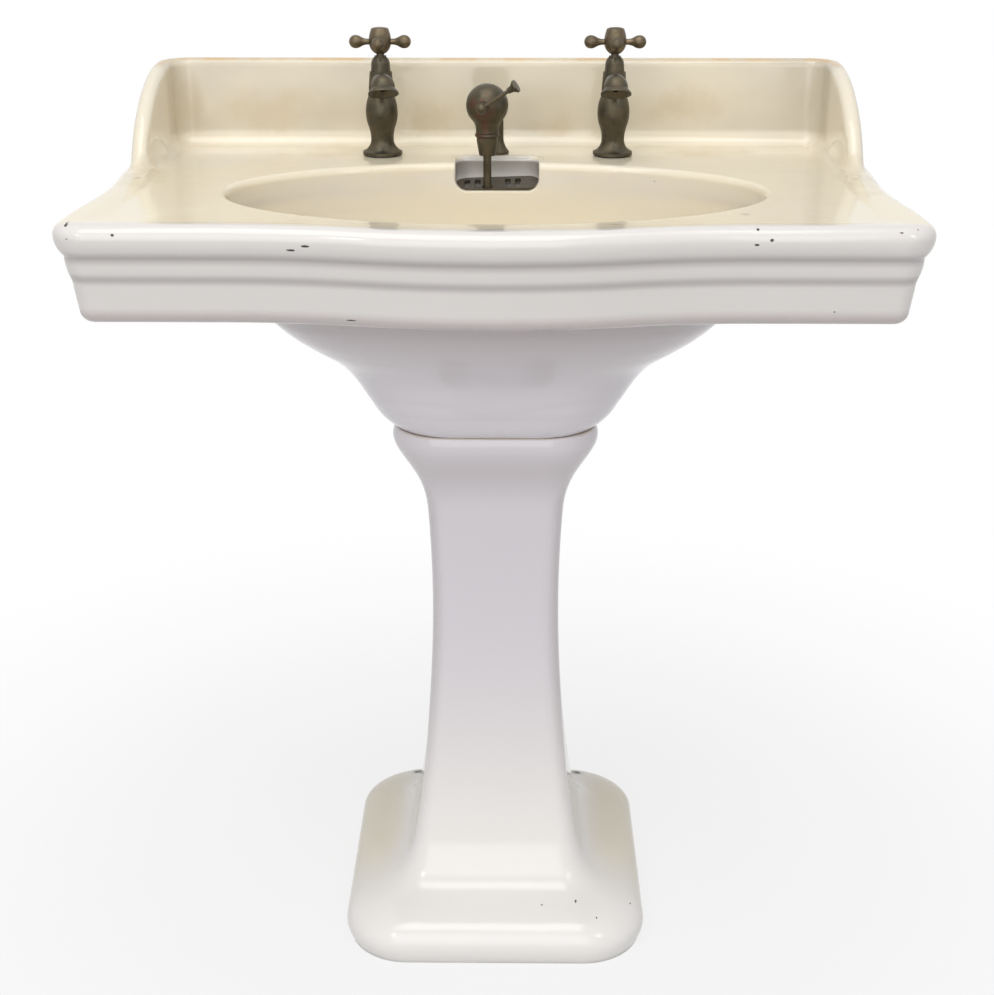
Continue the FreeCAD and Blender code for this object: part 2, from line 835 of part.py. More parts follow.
def collar(body):
    """The collar that stands on the pedestal: a rounded lip, then a flare up into the bowl."""
    levels = [
        (AXIS, S.collar_half_width, S.collar_half_depth, S.collar_corner),
        (S.collar_round_height, S.collar_round_half_width, S.collar_round_half_depth,
         S.collar_round_corner),
        (S.collar_swell_height, S.collar_swell_half_width, S.collar_swell_half_depth,
         S.collar_swell_corner),
        (S.collar_waist_height, S.collar_waist_half_width, S.collar_waist_half_depth,
         S.collar_waist_corner),
        (S.collar_flare_height, S.collar_flare_half_width, S.collar_flare_half_depth,
         S.collar_flare_corner),
        (S.collar_root_height, S.collar_root_half_width, S.collar_root_half_depth,
         S.collar_root_corner)]
    lofted(body, [collar_section(body, "collar_{}".format(i), *level) for i, level in enumerate(levels)])


def collar_hollow(body):
    wall = S.collar_wall
    lip = (S.collar_half_width - wall, S.collar_half_depth - wall, S.collar_corner - wall)
    swell = (S.collar_swell_half_width - wall * 2, S.collar_swell_half_depth - wall * 2,
             S.collar_swell_corner - wall * 2)
    lofted(body, [
        collar_section(body, "collar_mouth", -OVERCUT, *lip),
        collar_section(body, "collar_inside", S.collar_hollow_height / 2, *swell),
        collar_section(body, "collar_ceiling", S.collar_hollow_height, *swell)], "SubtractiveLoft")
    gate = sketch_on(body, "XY_Plane", "collar_gate", lift=S.pedestal_height - OVERCUT)
    back = S.collar_half_depth * 2
    draw(
        gate, (-S.collar_gate_half_width, S.pedestal_centre_y),
        (S.collar_gate_half_width, S.pedestal_centre_y),
        (S.collar_gate_half_width, back), (-S.collar_gate_half_width, back))
    feature(body, "Pocket", "collar_gateway", Profile=gate, Reversed=True,
            Length=S.collar_hollow_height + OVERCUT)


def chamber_walls(body):
    """The castings behind the bowl: chamber, round well under it and the port that fills it."""
    depth = S.chamber_depth_y / 2 - S.chamber_ledge + S.chamber_wall
    width = S.notch_half_width - S.chamber_ledge + S.chamber_wall
    box = sketch_on(body, "XY_Plane", "chamber_outside", lift=DECK - S.deck_thickness / 2)
    rounded_rectangle(box, AXIS, CHAMBER_Y, width, depth, S.grating_corner + S.chamber_wall)
    feature(body, "Pad", "chamber_casting", Profile=box, Reversed=True,
            Length=S.chamber_drop - S.deck_drop - S.deck_thickness / 2 + S.chamber_wall)
    round_well = sketch_on(body, "XY_Plane", "well_outside", lift=WELL_FLOOR - S.well_floor)
    circle(round_well, ROD_X, ROD_Y, S.well_radius + S.well_wall)
    feature(body, "Pad", "well_casting", Profile=round_well,
            Length=S.well_drop - S.well_top_drop + S.well_floor + S.well_wall)
    port = sketch_on(body, "XZ_Plane", "port_outside", lift=-ROD_Y)
    circle(port, ROD_X, RIM - S.port_drop, S.port_radius + S.port_wall)
    feature(body, "Pad", "port_casting", Profile=port, Length=S.port_length)


def chamber_cuts(body):
    """The notch at the bowl's back, the grating's ledge, the chamber, the well and its port."""
    half = S.notch_half_width
    floor = RIM - S.notch_drop
    nip = S.notch_corner * CORNER_NIP
    notch = sketch_on(body, "XZ_Plane", "notch", lift=-S.chamber_back_y)
    over = RIM + S.deck_thickness
    draw(
        notch, (-half, over),
        (-half, floor + S.notch_corner),
        (-half + nip, floor + nip, -half + S.notch_corner, floor),
        (half - S.notch_corner, floor),
        (half - nip, floor + nip, half, floor + S.notch_corner),
        (half, over))
    feature(body, "Pocket", "notch_cut", Profile=notch, Reversed=True,
            Length=S.chamber_back_y - S.bowl_centre_y)
    width, depth = half, S.chamber_depth_y / 2
    recess = sketch_on(body, "XY_Plane", "grating_recess", lift=floor + S.notch_corner)
    rounded_rectangle(recess, AXIS, CHAMBER_Y, width, depth, S.grating_corner)
    feature(body, "Pocket", "grating_seat", Profile=recess, Length=S.grating_thickness + S.notch_corner)
    ledge = S.chamber_ledge
    inside = sketch_on(body, "XY_Plane", "chamber_inside", lift=floor)
    rounded_rectangle(
        inside, AXIS, CHAMBER_Y, width - ledge, depth - ledge, S.grating_corner - ledge)
    feature(body, "Pocket", "chamber_cut", Profile=inside, Length=S.chamber_drop - S.notch_drop)
    well = sketch_on(body, "XY_Plane", "well_inside", lift=RIM - S.well_top_drop)
    circle(well, ROD_X, ROD_Y, S.well_radius)
    feature(body, "Pocket", "well_cut", Profile=well, Length=S.well_drop - S.well_top_drop)
    drain = sketch_on(body, "XY_Plane", "outlet_hole", lift=WELL_FLOOR + OVERCUT)
    circle(drain, ROD_X, ROD_Y, S.outlet_shank_radius + S.outlet_hole_clearance)
    feature(body, "Pocket", "outlet_cut", Profile=drain, Length=S.well_floor + OVERCUT * 2)
    port = sketch_on(body, "XZ_Plane", "port_bore", lift=-ROD_Y)
    circle(port, ROD_X, RIM - S.port_drop, S.port_radius)
    return feature(body, "Pocket", "port_cut", Profile=port, Reversed=True, Length=ROD_Y - S.bowl_centre_y)


def deck_holes(body):
    holes = sketch_on(body, "XY_Plane", "fitting_holes", lift=RIM)
    for side in (-1.0, 1.0):
        circle(holes, S.tap_half_pitch * side, S.tap_y, S.tap_shank_radius + S.tap_hole_clearance)
    circle(holes, AXIS, S.pillar_y, S.pillar_shank_radius + S.tap_hole_clearance)
    through = S.deck_drop + S.deck_thickness + OVERCUT
    return feature(body, "Pocket", "fitting_hole_cut", Profile=holes, Length=through)


def basin():
    body = new_body("basin")
    rim_and_deck(body)
    splash_wall(body)
    bell(body)
    collar(body)
    chamber_walls(body)
    collar_hollow(body)
    bowl = [bowl_section(body, "bowl_{}".format(i), share) for i, share in enumerate(BOWL_SHARES)]
    lofted(body, bowl, "SubtractiveLoft")
    chamber_cuts(body)
    holes = deck_holes(body)

    def on_bowl_edge(middle):
        x = middle.x / S.bowl_half_width.number
        y = (middle.y - S.bowl_centre_y.number) / S.bowl_half_depth.number
        return abs(middle.z - DECK.number) < EDGE_SLACK and abs(math.hypot(x, y) - 1.0) < EDGE_SLACK

    rounded_edges(body, holes, "bowl_edge", S.bowl_edge_radius, on_bowl_edge)
    return body


# Pedestal

def pedestal_levels():
    """Height, half width, depth trim, reach to the back and corner radius, from the floor up."""
    top = S.pedestal_height
    trim = S.shaft_depth_trim
    shaft = S.shaft_corner
    back = S.foot_back
    return [
        (AXIS, S.toe_half_width, AXIS, back, S.toe_corner),
        (S.foot_height, S.foot_half_width, AXIS, back, S.foot_corner),
        (S.welt_height, S.welt_half_width, AXIS, back, S.welt_corner),
        (S.brow_height, S.brow_half_width, AXIS, back, S.brow_corner),
        (S.instep_height, S.instep_half_width, AXIS, S.instep_back, S.instep_corner),
        (S.arch_height, S.arch_half_width, S.arch_depth_trim, S.arch_back, S.arch_corner),
        (S.shin_height, S.shin_half_width, S.shin_depth_trim, S.shin_back, S.shin_corner),
        (S.ankle_height, S.ankle_half_width, trim, AXIS, shaft),
        (S.calf_height, S.calf_half_width, trim, AXIS, shaft),
        (S.waist_height, S.waist_half_width, trim, AXIS, shaft),
        (top - S.nape_drop, S.nape_half_width, trim, AXIS, shaft),
        (top - S.shoulder_drop, S.shoulder_half_width, trim, AXIS, S.shoulder_corner),
        (top - S.flare_drop, S.flare_half_width, trim, AXIS, S.flare_corner),
        (top - S.brink_drop, S.brink_half_width, trim, AXIS, S.brink_corner),
        (top - S.ring_height, S.ring_foot_half_width, trim, AXIS, S.ring_corner),
        (top, S.ring_half_width, trim, AXIS, S.ring_corner)]


def pedestal_section(body, name, level, inset=AXIS, nip=AXIS, drop=AXIS):
    height, half, trim, back, corner = level
    sketch = sketch_on(body, "XY_Plane", name, lift=height - drop)
    return rounded_rectangle(
        sketch, AXIS, S.pedestal_centre_y + back / 2, half - inset, half - trim + back / 2 - inset,
        corner - nip)


def pedestal():
    body = new_body("pedestal")
    levels = pedestal_levels()
    outside = [pedestal_section(body, "outside_{}".format(i), level) for i, level in enumerate(levels)]
    lofted(body, outside)
    wall = S.pedestal_wall
    nip = S.pedestal_corner_wall
    drops = [wall] + [S.pedestal_hollow_drop] * (len(levels) - 2) + [-wall]
    inside = [
        pedestal_section(body, "inside_{}".format(i), level, wall, nip, drop)
        for i, (level, drop) in enumerate(zip(levels, drops))]
    lofted(body, inside, "SubtractiveLoft")
    gate = sketch_on(body, "XZ_Plane", "gate", lift=-S.pedestal_centre_y)
    gate_top = S.pedestal_height + S.shaft_corner
    half_height = (gate_top - S.gate_bottom) / 2
    rounded_rectangle(
        gate, AXIS, S.gate_bottom + half_height, S.gate_half_width, half_height, S.shaft_corner)
    feature(body, "Pocket", "gateway", Profile=gate, Length=S.foot_half_width * 2)
    holes = sketch_on(body, "XY_Plane", "floor_holes", lift=S.floor_hole_top)
    for side in (-1.0, 1.0):
        circle(holes, S.floor_hole_x * side, S.floor_hole_y, S.floor_hole_radius)
    feature(body, "Pocket", "floor_hole_cut", Profile=holes, Length=S.floor_hole_top)
    return body


# Pillar taps, drawn about their own upright axis with the flange's underside at zero

HOOD_TOP = S.tap_throat_height + S.hood_height
BONNET_TOP = HOOD_TOP + S.bonnet_height
HUB_FOOT = BONNET_TOP + S.gland_stand + S.hub_gap
HUB_TOP = HUB_FOOT + S.hub_height
VALVE_FOOT = S.seat_height + S.lift_gap
JUMPER_FOOT = VALVE_FOOT + S.valve_washer_thickness
SPINDLE_FOOT = JUMPER_FOOT + S.jumper_thickness + S.lift_gap
SPINDLE_BORE = S.spindle_radius + S.running_clearance


def tap_piece(name, side, turn=None):
    body = new_body(name)
    place(body, S.tap_half_pitch * side, S.tap_y, TAP_Z, turn)
    return body


def ring(body, name, inner, outer, low, high):
    """A plain turned ring."""
    sketch = sketch_on(body, "XZ_Plane", name)
    draw(sketch, (inner, low), (outer, low), (outer, high), (inner, high))
    turned(body, sketch)
    return body


def hex_nut(body, flats, bore, low, thickness):
    sketch = sketch_on(body, "XY_Plane", "nut", lift=low)
    hexagon(sketch, flats)
    circle(sketch, AXIS, AXIS, bore)
    feature(body, "Pad", "nut_pad", Profile=sketch, Length=thickness)
    return body


def spout(body):
    """Barrel that swells to a round elbow, with a bell mouth that faces down and forwards."""
    barrel = sketch_on(body, "YZ_Plane", "barrel", rise=S.spout_height)
    start = (AXIS, S.spout_root_radius)
    elbow = (-S.spout_reach, S.spout_elbow_radius)
    nose = (-S.spout_reach - S.spout_elbow_radius, AXIS)
    draw(barrel, (AXIS, AXIS), start, *ogee(start, elbow), bend(elbow, nose))
    turned(body, barrel, axis="H_Axis")
    mouth = sketch_on(body, "YZ_Plane", "mouth")
    length = S.spout_mouth_length
    turned_about_slant(
        body, mouth, (-S.spout_reach, S.spout_height), S.spout_mouth_angle, (AXIS, AXIS),
        (AXIS, S.spout_elbow_radius - S.spout_mouth_lip),
        (length - S.spout_mouth_lip, S.spout_mouth_radius),
        (length, S.spout_mouth_radius), (length, AXIS))


def spout_bore(body):
    """The passage from the valve along the barrel and the mouth's flared inside."""
    passage = sketch_on(body, "XZ_Plane", "passage", lift=S.spout_reach)
    circle(passage, AXIS, S.spout_height, S.spout_bore_radius)
    feature(body, "Pocket", "passage_cut", Profile=passage, Length=S.spout_reach)
    flare = sketch_on(body, "YZ_Plane", "flare")
    inside = S.spout_mouth_radius - S.spout_wall
    beyond = S.spout_elbow_radius + OVERCUT
    turned_about_slant(
        body, flare, (-S.spout_reach, S.spout_height), S.spout_mouth_angle, (-S.spout_wall, AXIS),
        (-S.spout_wall, S.spout_bore_radius), (S.spout_mouth_length, inside), (beyond, inside),
        (beyond, AXIS), kind="Groove")


def tap_body(name, side, turn):
    """Vase-shaped body with flange, threaded tail, bell-mouthed spout, valve seat and waterway."""
    body = tap_piece(name, side, turn)
    flange = (S.tap_flange_radius, S.tap_flange_thickness)
    neck = (S.tap_neck_radius, S.tap_neck_height)
    belly = (S.tap_belly_radius, S.tap_belly_height)
    throat = (S.tap_throat_radius, S.tap_throat_height)
    hood = S.hood_radius
    hood_low = S.tap_throat_height + S.hood_lip
    profile = sketch_on(body, "XZ_Plane", "vase")
    draw(
        profile, (AXIS, -S.tail_length), (S.tail_radius, -S.tail_length),
        (S.tail_radius, -S.tap_shank_length), (S.tap_shank_radius, -S.tap_shank_length),
        (S.tap_shank_radius, AXIS), (S.tap_flange_radius, AXIS), flange,
        bend_in(flange, neck, upright=True),
        *ogee(neck, belly, upright=True),
        bend(belly, throat, upright=True),
        (hood, hood_low), (hood, hood_low + S.hood_lip * 2),
        (hood - S.hood_draft, HOOD_TOP), (AXIS, HOOD_TOP))
    turned(body, profile)
    spout(body)
    bore = sketch_on(body, "XZ_Plane", "waterway")
    low = -S.tail_length - OVERCUT
    high = HOOD_TOP + OVERCUT
    draw(
        bore, (AXIS, low), (S.waterway_radius, low), (S.waterway_radius, S.seat_height),
        (S.valve_bore_radius, S.seat_height), (S.valve_bore_radius, high), (AXIS, high))
    turned(body, bore, "Groove")
    spout_bore(body)
    return body


def tap_bonnet(name, side):
    """Domed head that screws into the hood and guides the spindle."""
    body = tap_piece(name, side)
    plug = S.valve_bore_radius - S.thread_clearance
    socket = S.gland_radius + S.thread_clearance
    waist = (S.bonnet_waist_radius, HOOD_TOP + S.bonnet_waist_height)
    crown = (socket + S.bonnet_lip, BONNET_TOP)
    profile = sketch_on(body, "XZ_Plane", "dome")
    draw(
        profile, (SPINDLE_BORE, HOOD_TOP - S.bonnet_plug), (plug, HOOD_TOP - S.bonnet_plug),
        (plug, HOOD_TOP), (S.bonnet_radius, HOOD_TOP), waist,
        bend(waist, crown, upright=True),
        (socket, BONNET_TOP), (socket, BONNET_TOP - S.gland_sink),
        (SPINDLE_BORE, BONNET_TOP - S.gland_sink))
    turned(body, profile)
    return body


def tap_spindle(name, side):
    """Spindle with a blind bore below for the jumper's stem."""
    body = tap_piece(name, side)
    stem_bore = S.jumper_stem_radius + S.running_clearance
    bore_top = SPINDLE_FOOT + S.jumper_stem_length + S.running_clearance
    top = HUB_FOOT + S.spindle_grip
    profile = sketch_on(body, "XZ_Plane", "stem")
    draw(
        profile, (stem_bore, SPINDLE_FOOT), (S.spindle_radius, SPINDLE_FOOT), (S.spindle_radius, top),
        (AXIS, top), (AXIS, bore_top), (stem_bore, bore_top))
    turned(body, profile)
    return body


def tap_handle(name, side):
    """Cross handle: a turned hub with four club-ended arms."""
    body = tap_piece(name, side)
    bore = S.spindle_radius + S.thread_clearance
    foot = (bore + S.hub_foot_wall, HUB_FOOT)
    girth = (S.hub_radius, HUB_FOOT + S.arm_height)
    shoulder = (S.hub_top_radius, HUB_TOP - S.hub_shoulder_drop)
    seat = HUB_TOP - S.index_sink
    recess = S.index_radius + S.thread_clearance
    rim = (recess + S.hub_lip, HUB_TOP)
    hub = sketch_on(body, "XZ_Plane", "hub")
    draw(
        hub, (bore, HUB_FOOT), foot,
        bend_in(foot, girth, upright=True),
        bend(girth, shoulder, upright=True),
        bend(shoulder, rim, upright=True),
        (recess, HUB_TOP), (recess, seat), (AXIS, seat),
        (AXIS, HUB_FOOT + S.spindle_grip), (bore, HUB_FOOT + S.spindle_grip))
    turned(body, hub)
    arm = sketch_on(body, "XZ_Plane", "arm", rise=HUB_FOOT + S.arm_height)
    neck = (S.arm_neck_reach, S.arm_neck_radius)
    club = (S.arm_reach - S.arm_club_radius, S.arm_club_radius)
    tip = (S.arm_reach, AXIS)
    draw(
        arm, (S.arm_root, AXIS), (S.arm_root, S.arm_neck_radius), neck,
        *ogee(neck, club, S.arm_swell_share), bend(club, tip))
    first = turned(body, arm, axis="H_Axis")
    upright = [item for item in body.Origin.OriginFeatures if item.Role == "Z_Axis"][0]
    pattern = feature(body, "PolarPattern", "arms", Originals=[first], Axis=(upright, [""]), Angle=360.0,
                      Occurrences=4)
    body.Tip = pattern
    return body


def tap_index(name, side):
    """Slightly domed button that closes the hub's top."""
    body = tap_piece(name, side)
    low = HUB_TOP - S.index_sink
    edge = (S.index_radius, low + S.index_edge)
    crown = (AXIS, low + S.index_thickness)
    profile = sketch_on(body, "XZ_Plane", "button")
    draw(profile, (AXIS, low), (S.index_radius, low), edge, bend_in(edge, crown))
    turned(body, profile)
    return body


def tap_jumper(name, side):
    body = tap_piece(name, side)
    top = JUMPER_FOOT + S.jumper_thickness
    profile = sketch_on(body, "XZ_Plane", "plate")
    draw(
        profile, (AXIS, JUMPER_FOOT), (S.jumper_radius, JUMPER_FOOT), (S.jumper_radius, top),
        (S.jumper_stem_radius, top), (S.jumper_stem_radius, top + S.jumper_stem_length),
        (AXIS, top + S.jumper_stem_length))
    turned(body, profile)
    return body


def tap_set(word, side, turn):
    """The pieces of one tap, in the order that they are put together."""
    tail_bore = S.tap_shank_radius + S.thread_clearance
    under_deck = -S.tap_washer_thickness - S.deck_thickness
    return [
        tap_body(word + "_tap_body", side, turn),
        ring(tap_piece(word + "_tap_washer", side), "gasket", tail_bore, S.tap_washer_radius,
             -S.tap_washer_thickness, AXIS),
        hex_nut(tap_piece(word + "_tap_back_nut", side), S.back_nut_flats, tail_bore,
                under_deck - S.back_nut_thickness, S.back_nut_thickness),
        tap_bonnet(word + "_tap_bonnet", side),
        ring(tap_piece(word + "_tap_gland", side), "gland", SPINDLE_BORE, S.gland_radius,
             BONNET_TOP - S.gland_sink, BONNET_TOP + S.gland_stand),
        ring(tap_piece(word + "_valve_washer", side), "disc", AXIS, S.valve_washer_radius,
             VALVE_FOOT, JUMPER_FOOT),
        tap_jumper(word + "_valve_jumper", side),
        tap_spindle(word + "_tap_spindle", side),
        tap_handle(word + "_tap_handle", side),
        tap_index(word + "_tap_index", side)]


# Lift-up waste, drawn about the lift rod's axis with the deck at zero and the pillar behind

ROD_BORE = S.rod_radius + S.running_clearance
NECK_FOOT = S.head_height - S.neck_drop
RING_FOOT = NECK_FOOT - S.guide_ring_thickness
GUIDE_FOOT = RING_FOOT - S.guide_length
COVER_BOSS_Y = root(S.bulb_radius ** 2.0 - S.cover_boss_radius ** 2.0) + S.cover_boss_stand
LEVER_Y = COVER_BOSS_Y + S.lift_gap
LEVER_FRONT_Y = LEVER_Y + S.lever_hub_thickness
PIN_X = -S.crank_radius * cosine(S.crank_half_angle)
PIN_Z = S.head_height - S.crank_radius * sine(S.crank_half_angle)
SEAT = WELL_FLOOR + S.outlet_washer_thickness + S.outlet_flange_thickness - DECK
PLUNGER_FOOT = SEAT + S.lift_gap + S.plunger_washer_thickness


# The grating's slots, in pitches to the left and right of the rod.
GRATING_STEPS = (-2, -1, 2, 3)


def waste_piece(name):
    body = new_body(name)
    place(body, ROD_X, ROD_Y, DECK, S.head_swing)
    return body


def waste_pillar():
    """Bell-footed pillar that stands on the deck and carries the head on a short arm."""
    body = new_body("waste_pillar")
    place(body, AXIS, S.pillar_y, DECK, S.head_swing)
    foot = (S.pillar_foot_radius, S.pillar_foot_edge)
    ankle = (S.pillar_stem_radius, S.pillar_ankle_height)
    shoulder = (S.pillar_stem_radius, S.head_height + S.pillar_shoulder_rise)
    crown = (AXIS, S.head_height + S.pillar_crown_rise)
    profile = sketch_on(body, "XZ_Plane", "pillar")
    draw(
        profile, (AXIS, -S.pillar_shank_length), (S.pillar_shank_radius, -S.pillar_shank_length),
        (S.pillar_shank_radius, AXIS), (S.pillar_foot_radius, AXIS), foot,
        bend_in(foot, ankle, upright=True), shoulder, bend(shoulder, crown, upright=True))
    turned(body, profile)
    arm = sketch_on(body, "XZ_Plane", "arm")
    circle(arm, AXIS, S.head_height, S.pillar_arm_radius)
    feature(body, "Pad", "arm_pad", Profile=arm, Length=S.head_reach - S.bulb_boss_reach)
    return body


def waste_pillar_nut():
    body = new_body("waste_pillar_nut")
    place(body, AXIS, S.pillar_y, DECK)
    return hex_nut(body, S.pillar_nut_flats, S.pillar_shank_radius + S.thread_clearance,
                   -S.deck_thickness - S.pillar_nut_thickness, S.pillar_nut_thickness)


def waste_head():
    """Hollow bulb with a neck below, a boss behind for the arm and a round opening in front."""
    body = waste_piece("waste_head")
    centre = S.head_height
    outer = S.bulb_radius
    inner = outer - S.bulb_wall
    bore = S.neck_bore_radius
    throat = (S.neck_radius, NECK_FOOT + S.neck_band)
    cheek = (S.cheek_radius, centre - root(outer ** 2.0 - S.cheek_radius ** 2.0))
    mouth = (bore, centre - root(inner ** 2.0 - bore ** 2.0))
    profile = sketch_on(body, "XZ_Plane", "bulb")
    draw(
        profile, (bore, NECK_FOOT), (S.neck_radius, NECK_FOOT), throat,
        bend(throat, cheek, upright=True),
        (outer, centre, AXIS, centre + outer),
        (AXIS, centre + inner),
        (inner, centre) + mouth)
    turned(body, profile)
    boss = sketch_on(body, "XZ_Plane", "boss", lift=-S.bulb_boss_reach)
    circle(boss, AXIS, centre, S.bulb_boss_radius)
    feature(body, "Pad", "boss_pad", Profile=boss, Length=S.bulb_boss_reach - inner - S.bulb_boss_root)
    opening = sketch_on(body, "XZ_Plane", "opening", lift=S.opening_y)
    circle(opening, AXIS, centre, S.cover_radius + S.thread_clearance)
    feature(body, "Pocket", "opening_cut", Profile=opening, Length=outer * 2, Reversed=True)
    return body


def waste_cover():
    """Cover that completes the bulb in front and bears the crank shaft in its boss."""
    body = waste_piece("waste_cover")
    bore = S.crank_shaft_radius + S.running_clearance
    between = (S.cover_radius + S.cover_boss_radius) / 2

    def skin(radius):
        return -root(S.bulb_radius ** 2.0 - radius ** 2.0)

    profile = sketch_on(body, "XY_Plane", "cap", lift=S.head_height)
    draw(
        profile, (bore, -S.cover_inner_y), (S.cover_radius, -S.cover_inner_y),
        (S.cover_radius, skin(S.cover_radius)),
        (between, skin(between), S.cover_boss_radius, skin(S.cover_boss_radius)),
        (S.cover_boss_radius, -COVER_BOSS_Y), (bore, -COVER_BOSS_Y))
    turned(body, profile)
    return body


def waste_crank():
    """Shaft with a crank web and pin that lifts the yoke."""
    body = waste_piece("waste_crank")
    web_back = S.crank_web_y
    web_front = S.crank_web_y + S.crank_web_thickness
    shaft = sketch_on(body, "XZ_Plane", "shaft", lift=web_back)
    circle(shaft, AXIS, S.head_height, S.crank_shaft_radius)
    feature(body, "Pad", "shaft_pad", Profile=shaft,
            Length=LEVER_FRONT_Y + S.crank_shaft_stand - web_back)
    along = (-cosine(S.crank_half_angle), -sine(S.crank_half_angle))
    across = (-along[1], along[0])
    radius = S.crank_web_radius

    def web_point(start_x, start_z, way, amount):
        return (start_x + way[0] * radius * amount, start_z + way[1] * radius * amount)

    hub_x, hub_z = AXIS, S.head_height
    web = sketch_on(body, "XZ_Plane", "web", lift=web_back)
    draw(
        web, web_point(hub_x, hub_z, across, 1.0),
        web_point(PIN_X, PIN_Z, across, 1.0),
        web_point(PIN_X, PIN_Z, along, 1.0) + web_point(PIN_X, PIN_Z, across, -1.0),
        web_point(hub_x, hub_z, across, -1.0),
        web_point(hub_x, hub_z, along, -1.0) + web_point(hub_x, hub_z, across, 1.0))
    feature(body, "Pad", "web_pad", Profile=web, Length=web_front - web_back)
    pin = sketch_on(body, "XZ_Plane", "pin", lift=-S.yoke_half_thickness)
    circle(pin, PIN_X, PIN_Z, S.crank_pin_radius)
    feature(body, "Pad", "pin_pad", Profile=pin, Length=web_front + S.yoke_half_thickness)
    return body


def turned_on_lever(body, name, *points):
    """Turn a profile about the lever's slanted centre line."""
    sketch = sketch_on(body, "XZ_Plane", name, lift=(LEVER_Y + LEVER_FRONT_Y) / 2)
    return turned_about_slant(body, sketch, (AXIS, S.head_height), S.lever_angle, *points)


def waste_lever():
    body = waste_piece("waste_lever")
    hub = sketch_on(body, "XZ_Plane", "lever_hub", lift=LEVER_Y)
    circle(hub, AXIS, S.head_height, S.lever_hub_radius)
    feature(body, "Pad", "lever_hub_pad", Profile=hub, Length=S.lever_hub_thickness)
    turned_on_lever(
        body, "lever_rod", (S.lever_rod_root, AXIS), (S.lever_rod_root, S.lever_root_radius),
        (S.lever_reach, S.lever_rod_radius), (S.lever_reach, AXIS))
    bore = sketch_on(body, "XZ_Plane", "lever_bore", lift=LEVER_FRONT_Y + OVERCUT)
    circle(bore, AXIS, S.head_height, S.crank_shaft_radius + S.thread_clearance)
    feature(body, "Pocket", "lever_bore_cut", Profile=bore, Length=S.lever_hub_thickness + OVERCUT * 2)
    return body


def waste_knob():
    """Bell-shaped finger knob on the lever's end."""
    body = waste_piece("waste_knob")
    low = S.lever_reach - S.knob_socket
    high = low + S.knob_length
    bore = S.lever_rod_radius + S.knob_socket_clearance
    turned_on_lever(
        body, "knob", (low, bore), (low, bore + S.knob_foot_wall),
        (low + S.knob_waist_height, S.knob_waist_radius), (low + S.knob_brow_height, S.knob_radius),
        (high, S.knob_top_radius), (high, AXIS), (S.lever_reach, AXIS), (S.lever_reach, bore))
    return body


def waste_lever_nut():
    body = waste_piece("waste_lever_nut")
    bore = S.crank_shaft_radius + S.thread_clearance
    edge = (S.lever_nut_radius, -LEVER_FRONT_Y - S.lever_nut_edge)
    shaft_end = -LEVER_FRONT_Y - S.crank_shaft_stand
    crown = (AXIS, -LEVER_FRONT_Y - S.lever_nut_thickness)
    profile = sketch_on(body, "XY_Plane", "cap_nut", lift=S.head_height)
    draw(
        profile, (bore, -LEVER_FRONT_Y), (S.lever_nut_radius, -LEVER_FRONT_Y), edge, bend_in(edge, crown),
        (AXIS, shaft_end), (bore, shaft_end))
    turned(body, profile)
    return body


def waste_guide_ring():
    body = waste_piece("waste_guide_ring")
    bore = S.neck_bore_radius
    shoulder = S.guide_ring_radius - S.guide_ring_round
    profile = sketch_on(body, "XZ_Plane", "bead")
    draw(
        profile, (bore, RING_FOOT), (shoulder, RING_FOOT),
        (S.guide_ring_radius, (RING_FOOT + NECK_FOOT) / 2, shoulder, NECK_FOOT), (bore, NECK_FOOT))
    turned(body, profile)
    return body


def waste_guide():
    """Tapered guide nut that screws up into the neck and steadies the rod."""
    body = waste_piece("waste_guide")
    spigot = S.neck_bore_radius - S.thread_clearance
    top = NECK_FOOT + S.guide_spigot
    profile = sketch_on(body, "XZ_Plane", "guide")
    draw(
        profile, (ROD_BORE, GUIDE_FOOT), (S.guide_tip_radius, GUIDE_FOOT),
        (S.guide_top_radius, RING_FOOT - S.guide_band), (S.guide_top_radius, RING_FOOT),
        (spigot, RING_FOOT), (spigot, top), (ROD_BORE, top))
    turned(body, profile)
    return body


def waste_lift_rod():
    """Rod with the open-ended yoke that the crank pin lifts."""
    body = waste_piece("waste_lift_rod")
    slot = S.crank_pin_radius + S.yoke_slot_clearance
    half = slot + S.yoke_arm
    top = PIN_Z + half
    low = SEAT + S.lift_gap - S.plunger_nut_thickness
    profile = sketch_on(body, "XZ_Plane", "rod")
    draw(profile, (AXIS, low), (S.rod_radius, low), (S.rod_radius, top), (AXIS, top))
    turned(body, profile)
    tip = -S.crank_radius - S.yoke_slot_clearance
    end = PIN_X + S.crank_pin_radius + S.yoke_slot_clearance
    yoke = sketch_on(body, "XZ_Plane", "yoke", lift=-S.yoke_half_thickness)
    draw(
        yoke, (S.yoke_root, PIN_Z - half), (S.yoke_root, top), (tip, top), (tip, PIN_Z + slot),
        (end, PIN_Z + slot), (end, PIN_Z - slot), (tip, PIN_Z - slot), (tip, PIN_Z - half))
    feature(body, "Pad", "yoke_pad", Profile=yoke, Length=S.yoke_half_thickness * 2)
    return body


def waste_plunger():
    body = waste_piece("waste_plunger")
    bore = S.rod_radius + S.thread_clearance
    rim = PLUNGER_FOOT + S.plunger_rim
    boss = (S.plunger_boss_radius, PLUNGER_FOOT + S.plunger_thickness)
    top = PLUNGER_FOOT + S.plunger_boss_height
    profile = sketch_on(body, "XZ_Plane", "plunger")
    draw(
        profile, (bore, PLUNGER_FOOT), (S.plunger_radius, PLUNGER_FOOT), (S.plunger_radius, rim),
        boss, (S.plunger_boss_radius, top), (bore, top))
    turned(body, profile)
    return body


